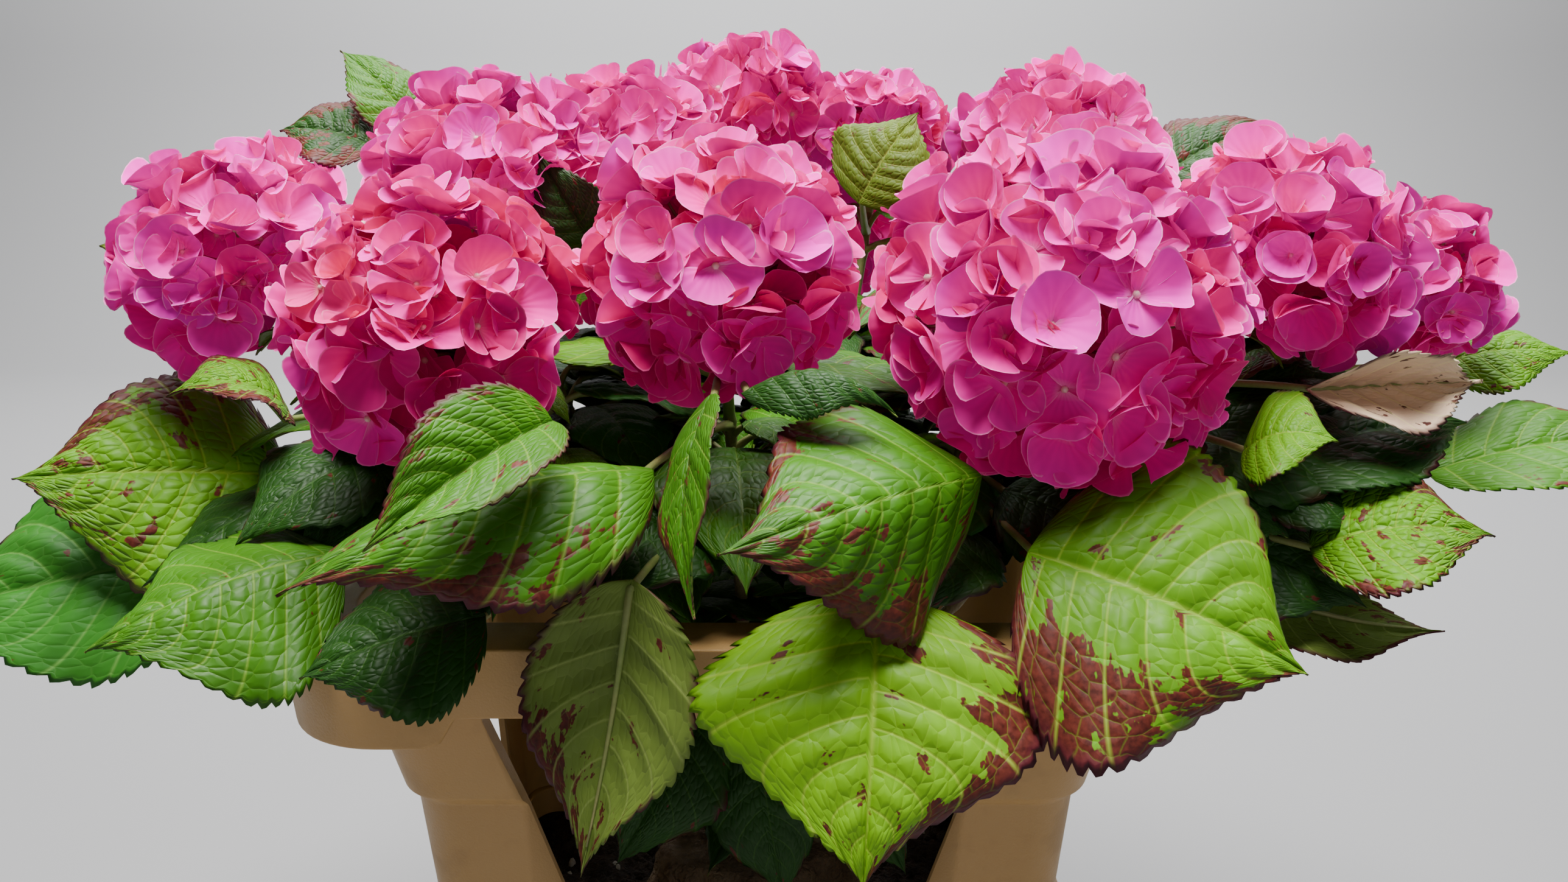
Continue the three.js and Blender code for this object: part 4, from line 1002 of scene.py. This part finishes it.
def youngLeaves(k, rng):
    # finer growth: small pairs right under each head and at buds lower down
    nodes = stems[k]["nodes"]
    grown = []
    for share, long in youngPairs:
        at = nodes[round(share * (len(nodes) - 1))]
        first = rng.uniform(0, 180)
        for side in range(2):
            out = levelWay(math.radians(first + 180 * side))
            foot = at + out * 9 + (0, 0, 3)
            reach = long * rng.uniform(0.8, 1.15)
            tip = foot + out * reach * 0.86 + (0, 0, -reach * rng.uniform(0.2, 0.6))
            grown.append({"foot": foot, "tip": tip, "face": out * 0.3 + (0, 0, 1), "arch": 5,
                          "wide": reach * 0.6, "fold": 16, "curl": -26})
    return grown


def innerLeaves(k, rng):
    # deep green leaves in the middle of the plant, whose darkness is painted shade: low on each leafy stem,
    # and on the canes in the collar.
    # There the best of 24 ways is taken: least (x / reachX)² + (y / reachY)² + chance
    stem = stems[k]
    canePlaces = bezier(stem["knots"], stem["cut"] * np.linspace(0.14, 1, 24))
    grown = []
    for n in range(inside["perStem"]):
        at = stem["nodes"][1 + n]
        azimuth = rng.uniform(0, 2 * math.pi) if n % 2 == 0 else azimuth + math.pi + rng.uniform(-0.4, 0.4)
        out = levelWay(azimuth)
        foot = at + out * 11 + (0, 0, 5)
        reach = rng.uniform(*inside["long"]) * (1.25 if stem["centre"][1] > 50 else 1)
        tip = foot + out * reach + (0, 0, -reach * rng.uniform(0.05, 0.35))
        if abs(tip[0]) > inside["rimX"] or abs(tip[1]) > inside["rimY"]:
            tip[2] = max(tip[2], inside["overRim"])
        grown.append((foot, np.clip(tip, inside["low"], inside["high"]), out, stem["nodes"][1:-1]))
    for n in range(inside["perCane"]):
        at = canePlaces[3 + 4 * n]
        azimuths = rng.uniform(0, 2 * math.pi, 24)
        reach = rng.uniform(*inside["caneLong"])
        outs = np.stack([np.cos(azimuths), np.sin(azimuths), np.zeros(24)], -1)
        tips = at + outs * (reach + 9)
        outside = (tips[:, 0] / inside["reachX"]) ** 2 + (tips[:, 1] / inside["reachY"]) ** 2
        best = np.argmin(outside + rng.uniform(0, 0.5, 24))
        foot = at + outs[best] * 9 + (0, 0, 4)
        grown.append((foot, tips[best] + (0, 0, -reach * rng.uniform(0.1, 0.5)), outs[best], canePlaces))
    leaves = []
    for foot, tip, out, places in grown:
        wide = np.linalg.norm(tip - foot) * rng.uniform(0.62, 0.74)
        leaves.append({"foot": foot, "tip": tip, "face": out * 0.4 + (0, 0, 1), "arch": 8, "wide": wide,
                       "fold": 14, "curl": -26, "places": places})
    return leaves


def growLeaf(leaf, seed, grid, batch, places, sides=7):
    # a blade, and its stalk from one of the places on its stem
    growBlade(leaf, seed, grid, batch)
    growPetiole(leaf, places, petioles, sides)


frontLeaves, crownLeaves, innerBatch, youngBatch, petioles = Batch(), Batch(), Batch(), Batch(), Batch()
for n, leaf in enumerate(showLeaves):
    growLeaf(leaf, 40 + n, fineGrid, frontLeaves, stems[leaf["stem"] - 1]["nodes"][1:-1])
for n, leaf in enumerate(gapLeaves):
    stem = stems[leaf["stem"] - 1]
    places = bezier(stem["knots"], np.linspace(0.3 * stem["cut"], 0.9, 40))
    growLeaf(leaf | gapLook, 80 + n, plainGrid, crownLeaves, places)
leafCount = {"seeded": 0, "inner": 0, "young": 0}
rng = np.random.default_rng(77)
for k, stem in enumerate(stems):
    places = stem["nodes"][1:-1]
    for leaf in seededLeaves(k):
        leaf["green"] = ("leaf", "grass", "deep", "leaf", "blueGreen")[rng.integers(5)]
        amount = float(rng.choice([0.1, 0.3, 0.6]))
        leaf["rust"] = (amount, *[rng.uniform(*span) for span in ((-0.6, 0.6), (-0.2, 0.8), (0.1, 0.9))])
        growLeaf(leaf, 300 + leafCount["seeded"], plainGrid, crownLeaves, places)
        leafCount["seeded"] += 1
    for leaf in innerLeaves(k, rng):
        # mostly deep green, as painted shade
        leaf |= {"green": ("deep", "deep", "leaf")[rng.integers(3)], "rust": (0.15, 0, 0.3, 0.3)}
        growLeaf(leaf, 500 + leafCount["inner"], innerGrid, innerBatch, leaf["places"], 5)
        leafCount["inner"] += 1
    for leaf in youngLeaves(k, rng):
        leaf |= {"green": ("grass", "leaf", "lime")[rng.integers(3)], "rust": (0.15, 0, 0.4, 0.4)}
        growLeaf(leaf, 900 + leafCount["young"], youngGrid, youngBatch, places, 5)
        leafCount["young"] += 1
frontLeaves.piece("leaves_front", leafMaterials, "foliage")
crownLeaves.piece("leaves_crown", leafMaterials, "foliage")
innerBatch.piece("leaves_inner", leafMaterials, "foliage")
youngBatch.piece("leaves_young", leafMaterials, "foliage")
petioles.piece("leaf_stalks", [mottledMaterial("petioleGreen")], "foliage")
print("leaves:", len(showLeaves), "shown,", len(gapLeaves), "in gaps and", leafCount)

# places and widths of swellings, scars and the flared foot are shares of the limb
wood = {
    "sides": 12, "rings": 54, "grain": 0.05, "swell": 0.28, "swellAt": (0.2, 0.4, 0.66, 0.86),
    "swellWide": 0.022, "scar": 0.2, "scarWide": 0.012, "flare": 0.45, "flareLong": 0.035,
}


def bumpsAt(t, places, wide):
    # one bump of height 1 at each place: exp(-((t - place) / wide)²)
    return sum(np.exp(-((t - place) / wide) ** 2) for place in places)


stemBatch, caneBatch = Batch(), Batch()
t = np.linspace(0, 1, wood["rings"])
for k, stem in enumerate(stems):
    rng = np.random.default_rng(60 + k)
    # leafy stem: tapering radius (1 + swell at each leaf node), from the cut to the head's neck
    path = bezier(stem["knots"], stem["cut"] + (1 - stem["cut"]) * t)
    radii = plant["caneTip"] + (plant["stemTip"] - plant["caneTip"]) * t
    radii = radii * (1 + wood["swell"] * bumpsAt(t, wood["swellAt"], wood["swellWide"]))
    stemBatch.add(*tubes(path[None], radii[None], wood["sides"]))
    # cane: tapers from its flared foot, with rings of old leaf scars and a rough skin
    path = bezier(stem["knots"], stem["cut"] * t)
    path[0, 2] = plant["crownTop"] - 5
    scars = bumpsAt(t, (0.22 + 0.06 * rng.random(), 0.5, 0.78), wood["scarWide"])
    radii = plant["caneFoot"] + (plant["caneTip"] - plant["caneFoot"]) * t
    radii = radii * (1 + wood["scar"] * scars + wood["flare"] * np.exp(-t / wood["flareLong"]))
    points, quads, caps = tubes(path[None], radii[None], wood["sides"])
    rough = 1 + wood["grain"] * rng.normal(size=(wood["rings"], wood["sides"], 1))
    points = path[:, None] + (points.reshape(-1, wood["sides"], 3) - path[:, None]) * rough
    caneBatch.add(points, quads, caps)
stemPiece = stemBatch.piece("leafy_stems", [mottledMaterial("stemGreen")], "foliage")
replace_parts(stemPiece, *[f"leaves_{k + 1:02d}" for k in range(len(heads))])
canePiece = caneBatch.piece("canes", [mottledMaterial("caneBark")], "cane_bark")
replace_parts(canePiece, *[f"cane_{k + 1:02d}" for k in range(len(heads))])

rootCrown = {
    "foot": 62, "top": 50, "soil": 190.3, "peak": 226, "turns": 96, "rings": 40, "oval": 0.92,
    "ridge": 1.6, "fineRidge": 1.1, "knot": 2.2, "knotSpread": 60,
}


def buildRootCrown():
    # profile turned round the axis, with lobes cos 5a and cos 3a, knots under the canes and bark ridges
    rng = np.random.default_rng(12)
    foot, top, low, peak = (rootCrown[key] for key in ("foot", "top", "soil", "peak"))
    corners = np.array([(foot, low), (foot - 1, low + 5), (top + 3, low + 17), (top, peak - 5),
                        (top - 4, peak), (3, peak)])
    spot = np.linspace(0, len(corners) - 1, rootCrown["rings"])
    radius, height = (np.interp(spot, np.arange(len(corners)), corners[:, n])[:, None] for n in (0, 1))
    spot = spot[:, None]
    angle = np.linspace(0, 2 * math.pi, rootCrown["turns"], endpoint=False)[None]
    lobe = 1 + 0.045 * np.cos(5 * angle) + 0.03 * np.cos(3 * angle + 1)
    wallShare = np.clip((spot - 0.2) / 1.5, 0, 1) * np.clip((4.2 - spot) / 1.2, 0, 1)
    ridges = (rootCrown["ridge"] * np.sin(23 * angle + 2.2 * np.sin(5 * angle) + 0.12 * height)
              + rootCrown["fineRidge"] * np.sin(41 * angle + 0.3 * height))
    radius = radius * lobe + wallShare * (ridges + 0.5 * rng.normal(size=lobe.shape))
    x, y = radius * np.cos(angle), radius * np.sin(angle) * rootCrown["oval"]
    feet = np.array([stem["knots"][0] for stem in stems])
    squares = (x[..., None] - feet[:, 0]) ** 2 + (y[..., None] - feet[:, 1]) ** 2
    knots = rootCrown["knot"] * np.minimum(np.exp(-squares / rootCrown["knotSpread"]).sum(-1), 1)
    topShare = np.clip(spot - 3.4, 0, 1)
    height = height + topShare * (knots + 0.7 * rng.normal(size=x.shape)) - 1.2 * topShare
    return closedRings(np.stack([x, y, height * np.ones_like(x)], -1), low, peak - 1)


rootPiece = makePiece("root_crown_bark", *buildRootCrown(), [mottledMaterial("rootBark")], "bark")
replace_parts(rootPiece, "root_crown")
print("stems, canes and root crown made")

# millimetres; a window has half its width at the top and at the bottom
pot = {
    "halfX": 200, "halfY": 150, "height": 400, "corner": 48, "band": 32, "skirt": 46, "ledge": 199.7,
    "windowTop": 364, "windowBottom": 212, "windowCorner": 15, "windowFoot": 6, "cutReach": 260,
    "longWindow": (116, 71), "shortWindow": (66, 45), "cornerSteps": 14, "longSteps": 44, "shortSteps": 30,
    "edge": 1.2,
}


def planOutline():
    # rounded rectangle: four arcs joined by straight sides, as corner signs, arc angles and side shares
    rows = []
    signs = [(1, 1), (-1, 1), (-1, -1), (1, -1)]
    for k, (sx, sy) in enumerate(signs):
        for angle in np.linspace(k, k + 1, pot["cornerSteps"] + 1) * math.pi / 2:
            rows.append((sx, sy, math.cos(angle), math.sin(angle), 1.0))
        long = k % 2 == 0
        steps = pot["longSteps"] if long else pot["shortSteps"]
        for share in np.linspace(1, -1, steps + 2)[1:-1]:
            rows.append((sx * share, sy, 0, sy, abs(share)) if long else (sx, sy * share, sx, 0, abs(share)))
    return np.array(rows)


plan = planOutline()


def levels(profile):
    # rings of the outline at heights z, moved in where the inset is negative: corner radius 48 + 0.55 inset,
    # at least 14
    inset, z = profile[:, 0][:, None], profile[:, 1][:, None]
    radius = np.maximum(14, pot["corner"] + 0.55 * inset)
    x = plan[:, 0] * (pot["halfX"] + inset - radius) + radius * plan[:, 2]
    y = plan[:, 1] * (pot["halfY"] + inset - radius) + radius * plan[:, 3]
    return np.stack([x, y, z * np.ones_like(x)], -1)


def roundedProfile(corners, edge, steps=4):
    # each corner of a closed profile becomes a short quadratic curve that starts and ends one edge away
    corners = np.asarray(corners, float)
    ends = []
    for neighbour in (np.roll(corners, 1, 0), np.roll(corners, -1, 0)):
        span = neighbour - corners
        length = np.linalg.norm(span[:, :2], axis=1)
        ends.append(corners + span / length[:, None] * np.minimum(edge, 0.45 * length)[:, None])
    curve = bezier((ends[0][:, None], corners[:, None], ends[1][:, None]), np.linspace(0, 1, steps + 1))
    return curve.reshape(-1, corners.shape[1])


def windowCutter(size, turned):
    # prism with a rounded trapezoid as its outline, right through the container
    topHalf, bottomHalf = size
    high, low = pot["windowTop"], pot["windowBottom"]
    corners = np.array([(-topHalf, high), (-bottomHalf, low), (bottomHalf, low), (topHalf, high)])
    edges = np.array([pot["windowCorner"], pot["windowFoot"], pot["windowFoot"], pot["windowCorner"]])
    shape = roundedProfile(corners, edges, 8)
    count = len(shape)
    front = np.stack([shape[:, 0], np.full(count, -pot["cutReach"]), shape[:, 1]], -1)
    points = np.concatenate([front, front * (1, -1, 1)])
    if turned:
        points = np.stack([-points[:, 1], points[:, 0], points[:, 2]], -1)
    ends = np.stack([np.arange(count), np.arange(count) + count])
    following = np.roll(ends, -1, 1)
    sides = np.stack([ends[0], ends[1], following[1], following[0]], -1)
    mesh = bpy.data.meshes.new("windowCutter")
    mesh.from_pydata((points * mm).tolist(), [], sides.tolist() + [ends[0].tolist(), ends[1][::-1].tolist()])
    cutter = bpy.data.objects.new("windowCutter", mesh)
    bpy.context.scene.collection.objects.link(cutter)
    return cutter


def applyModifiers(piece):
    # the mesh as its modifiers leave it, with the modifiers gone
    depsgraph = bpy.context.evaluated_depsgraph_get()
    finished = bpy.data.meshes.new_from_object(piece.evaluated_get(depsgraph))
    piece.modifiers.clear()
    piece.data = finished


def buildCollar(material):
    # closed profile of inset, height and share in the skirt's fall, carried round the outline, with windows
    top, ledge = pot["height"], pot["ledge"] + 0.3
    corners = [(0, top, 0), (-3.5, top - pot["band"], 1), (-6.3, top - pot["band"], 1), (-4.5, top - 4, 0),
               (-27, top - 5, 0), (-30, 356, 0), (-41, 309, 0), (-46, 304, 0), (-55, ledge, 0),
               (-58.5, ledge, 0), (-49.5, 304, 0), (-33, 385, 0), (-29, top, 0)]
    profile = roundedProfile(corners, pot["edge"])
    points = levels(profile)
    # the skirt hangs lower at the corners, eased along each side by e² (3 - 2e)
    straight = plan[:, 4]
    longSide = np.abs(plan[:, 3]) > 0.99
    low = np.where(longSide, 0.77, 0.657)
    high = np.where(longSide, 0.842, 0.765)
    ease = np.clip((straight - low) / (high - low), 0, 1)
    ease = ease ** 2 * (3 - 2 * ease)
    points[..., 2] -= profile[:, 2][:, None] * ease * (pot["skirt"] - pot["band"])
    rows, columns = points.shape[:2]
    index = np.pad(np.arange(rows * columns).reshape(rows, columns), ((0, 1), (0, 1)), "wrap")
    faces = sheetFaces(index)[:, ::-1]
    piece = makePiece("container_collar", points.reshape(-1, 3), faces, [material], "container_plastic")
    cutters = [windowCutter(pot["longWindow"], False), windowCutter(pot["shortWindow"], True)]
    for cutter in cutters:
        cut = piece.modifiers.new("window", "BOOLEAN")
        cut.operation, cut.object, cut.solver = "DIFFERENCE", cutter, "EXACT"
    applyModifiers(piece)
    for cutter in cutters:
        bpy.data.objects.remove(cutter)
    return piece


def buildBucket(material):
    # profile of inset and height from the underside up the wall, over the ledge and down inside to the floor
    corners = [(-70, 0), (-57, 188), (-50.5, 192), (-49.5, 205), (-37, 205), (-38, 192), (-35.4, 192),
               (-34, 209), (-36.5, 212), (-51.5, 212), (-52.8, 199.7), (-61, 199.7), (-74, 6)]
    profile = roundedProfile(corners, pot["edge"])
    profile = profile[2:-2]                         # open between the two floors, which the fans close
    closed = closedRings(levels(profile), profile[0, 1], profile[-1, 1])
    return makePiece("container_bucket", *closed, [material], "container_plastic")


plasticLook = {
    "cream": ((0.46, 0.27, 0.095), (0.55, 0.34, 0.14)), "scuff": (0.25, 0.16, 0.08),
    "speck": (0.3, 0.22, 0.14), "scuffFrom": 0.66, "scuffShare": 0.6, "speckFrom": 0.74, "speckSharp": 2.2,
    "gloss": (0.2, 0.34), "relief": (0.18, 0.0006),
}


def plasticMaterial():
    # cream plastic: faint cloudy tone, grey scuffs, small dark specks and a soft satin skin
    material, tree, shader = newMaterial("creamPlastic", 0.45, specular=0.3)
    shader.inputs["Subsurface Weight"].default_value = 0.12
    shader.inputs["Subsurface Radius"].default_value = (1.0, 0.7, 0.4)
    shader.inputs["Subsurface Scale"].default_value = 0.006
    tone = useGroup(tree, mottle, {"Scale": 7.0, "Fine scale": 260.0, "Contrast": 1.0}).outputs
    worn = useGroup(tree, mottle, {"Scale": 38.0, "Fine scale": 900.0, "Contrast": 3.0}).outputs
    ground = mixColour(tree, tone["Patch"], *plasticLook["cream"])
    greyed = maths(tree, "SUBTRACT", worn["Patch"], plasticLook["scuffFrom"], clamp=True)
    scuffed = layOver(tree, greyed, plasticLook["scuffShare"], ground, plasticLook["scuff"])
    dark = maths(tree, "SUBTRACT", tone["Fine"], plasticLook["speckFrom"], clamp=True)
    specks = maths(tree, "MULTIPLY", dark, plasticLook["speckSharp"], clamp=True)
    tree.links.new(mixColour(tree, specks, scuffed, plasticLook["speck"]), shader.inputs["Base Color"])
    gloss = maths(tree, "MULTIPLY_ADD", worn["Patch"], *plasticLook["gloss"])
    tree.links.new(gloss, shader.inputs["Roughness"])
    addBump(tree, shader, worn["Fine"], *plasticLook["relief"])
    return material


plastic = plasticMaterial()
corners = [f"{end}_{side}" for end in ("front", "back") for side in ("left", "right")]
collarSolids = [f"collar_{kind}_{corner}" for kind in ("post", "rim") for corner in corners]
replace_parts(buildCollar(plastic), "collar_foot", *collarSolids)
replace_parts(buildBucket(plastic), "bucket")
print("container made")

soil = {
    "edge": -62.6, "rimHeight": 184, "top": 190, "floor": 6.3, "rings": 46, "footInset": 12,
    "domeShare": 0.38, "crumbs": 640, "crumbSize": (0.8, 3.4), "stretch": (0.7, 1.3), "dent": 0.16,
    "gritShare": 0.1, "spreadX": 128, "spreadY": 80,
}


def buildSoil():
    # rings of the bucket's outline shrunk to the middle, raised by a sum of sines and fine roughness
    rng = np.random.default_rng(5)
    shares = np.linspace(1, 0.02, soil["rings"])[:, None]
    edge = levels(np.array([[soil["edge"], soil["rimHeight"]]]))[0]
    xy = edge[None, :, :2] * shares[..., None]
    dome = np.clip((1 - shares) / soil["domeShare"], 0, 1)
    height = soil["rimHeight"] + (soil["top"] - soil["rimHeight"]) * dome * np.ones(len(edge))
    x, y = xy[..., 0], xy[..., 1]
    bumps = (1.1 * np.sin(x / 9 + 1.3 * np.sin(y / 13)) * np.cos(y / 8) + 0.8 * np.sin(x / 4.1 + y / 5.2)
             + 0.8 * rng.normal(size=x.shape))
    height = height + (bumps - 1.2) * np.clip((1 - shares) * 12, 0, 1)
    foot = levels(np.array([[soil["edge"] - soil["footInset"], soil["floor"]]]))
    return closedRings(np.concatenate([foot, np.stack([x, y, height], -1)]), soil["floor"], soil["top"] - 1)


def buildCrumbs():
    # small lumps: jittered balls of 4 rings, some of them pale grit, lower towards the edge by 4 (share)³
    rng = np.random.default_rng(6)
    count, wideX, wideY = soil["crumbs"], soil["spreadX"], soil["spreadY"]
    size = rng.uniform(*soil["crumbSize"], (count, 1, 1, 1)) * rng.uniform(*soil["stretch"], (count, 1, 1, 3))
    x, y = rng.uniform(-wideX, wideX, count), rng.uniform(-wideY, wideY, count)
    drop = 4 * np.maximum(np.abs(x) / wideX, np.abs(y) / wideY) ** 3
    at = np.stack([x, y, soil["top"] - 2.5 - drop], -1)
    ball = ballPoints(np.linspace(0.35, math.pi - 0.35, 4))
    points = at[:, None, None] + ball * size * (1 + soil["dent"] * rng.normal(size=(count, 4, 6, 1)))
    quads, triangles = (copies(faces, count, 24) for faces in ballFaces(4))
    grit = (rng.random(count) < soil["gritShare"]) * 1
    slots = np.concatenate([np.repeat(grit, 18), np.repeat(grit, 8)])
    return points.reshape(-1, 3), [quads, triangles], slots


soilMaterial, gritMaterial = mottledMaterial("pottingSoil"), mottledMaterial("paleGrit")
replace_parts(makePiece("soil_bed", *buildSoil(), [soilMaterial], "soil"), "potting_soil")
crumbPoints, crumbFaces, crumbSlots = buildCrumbs()
makePiece("soil_crumbs", crumbPoints, crumbFaces, [soilMaterial, gritMaterial], "soil", crumbSlots)
print("soil made")

# metres
studio = {
    "floorReach": 6.0, "wallAt": 2.6, "wallHigh": 4.0, "bend": 0.9, "halfWide": 7,
    "colour": (0.28, 0.28, 0.284, 1), "sky": (0.9, 0.92, 0.95, 1), "skyStrength": 0.08,
}

# place, aim, size in metres, watts and colour of each soft light
softLights = {
    "keyLight": ((-0.15, -0.33, 1.9), (0.0, -0.08, 0.45), (0.8, 0.6), 56, (1, 0.98, 0.95)),
    "topLight": ((0.4, 0.25, 2.2), (0, 0, 0.5), (1.4, 1.0), 52, (0.97, 0.98, 1)),
    "fillLight": ((0.7, -2.2, 0.9), (0, 0, 0.35), (2.0, 1.4), 5, (0.97, 0.98, 1)),
    "backLight": ((0.0, 2.2, 2.4), (0, 0, 0.5), (2.4, 1.2), 8, (1, 1, 1)),
    "wallLight": ((0.0, 1.5, 2.8), (0, 3.5, 1.0), (3.0, 0.8), 400, (1, 1, 1)),
}


def buildStage():
    # pale floor that bends up into a wall: flat, a quarter circle, then upright
    quarter = np.linspace(0, math.pi / 2, 16)
    wall = studio["wallAt"] + studio["bend"]
    y = np.concatenate([np.linspace(-studio["floorReach"], studio["wallAt"], 8),
                        studio["wallAt"] + studio["bend"] * np.sin(quarter), np.full(4, wall)])
    z = np.concatenate([np.zeros(8), studio["bend"] * (1 - np.cos(quarter)),
                        np.linspace(studio["bend"] + 0.2, studio["wallHigh"], 4)])
    y, x = np.meshgrid(y, np.linspace(-studio["halfWide"], studio["halfWide"], 15), indexing="ij")
    grid = np.stack([x, y, np.broadcast_to(z[:, None], x.shape)], -1)
    mesh = bpy.data.meshes.new("studioFloor")
    faces = sheetFaces(np.arange(x.size).reshape(x.shape))
    mesh.from_pydata(grid.reshape(-1, 3).tolist(), [], faces.tolist())
    mesh.polygons.foreach_set("use_smooth", np.ones(len(mesh.polygons), bool))
    floor = bpy.data.objects.new("studioFloor", mesh)
    bpy.context.scene.collection.objects.link(floor)
    material, _, shader = newMaterial("paleFloor", 0.9, specular=0.1)
    shader.inputs["Base Color"].default_value = studio["colour"]
    mesh.materials.append(material)


def softLight(name, at, aim, size, watts, colour):
    # rectangular lamp turned to a point
    data = bpy.data.lights.new(name, "AREA")
    data.shape, data.size, data.size_y = "RECTANGLE", size[0], size[1]
    data.energy, data.color = watts, colour
    light = bpy.data.objects.new(name, data)
    bpy.context.scene.collection.objects.link(light)
    light.location = at
    light.rotation_euler = (Vector(aim) - Vector(at)).to_track_quat("-Z", "Y").to_euler()


buildStage()
for name, values in softLights.items():
    softLight(name, *values)
world = bpy.data.worlds.new("studioWorld")
world.use_nodes = True
sky = world.node_tree.nodes["Background"].inputs
sky["Color"].default_value = studio["sky"]
sky["Strength"].default_value = studio["skyStrength"]
bpy.context.scene.world = world

# camera: 595 mm up and 588 mm before the container's middle, tilted down by 14 degrees
view = {"at": (0.018, -0.588, 0.595), "down": 14, "focalPixels": 1950, "imageWide": 2576, "sensor": 36}
cameraData = bpy.data.cameras.new("camera")
cameraData.sensor_width = view["sensor"]
cameraData.lens = view["focalPixels"] / view["imageWide"] * view["sensor"]
cameraData.clip_start = 0.01
camera = bpy.data.objects.new("camera", cameraData)
camera.location = view["at"]
camera.rotation_euler = (math.radians(90 - view["down"]), 0, 0)
bpy.context.scene.collection.objects.link(camera)
bpy.context.scene.camera = camera
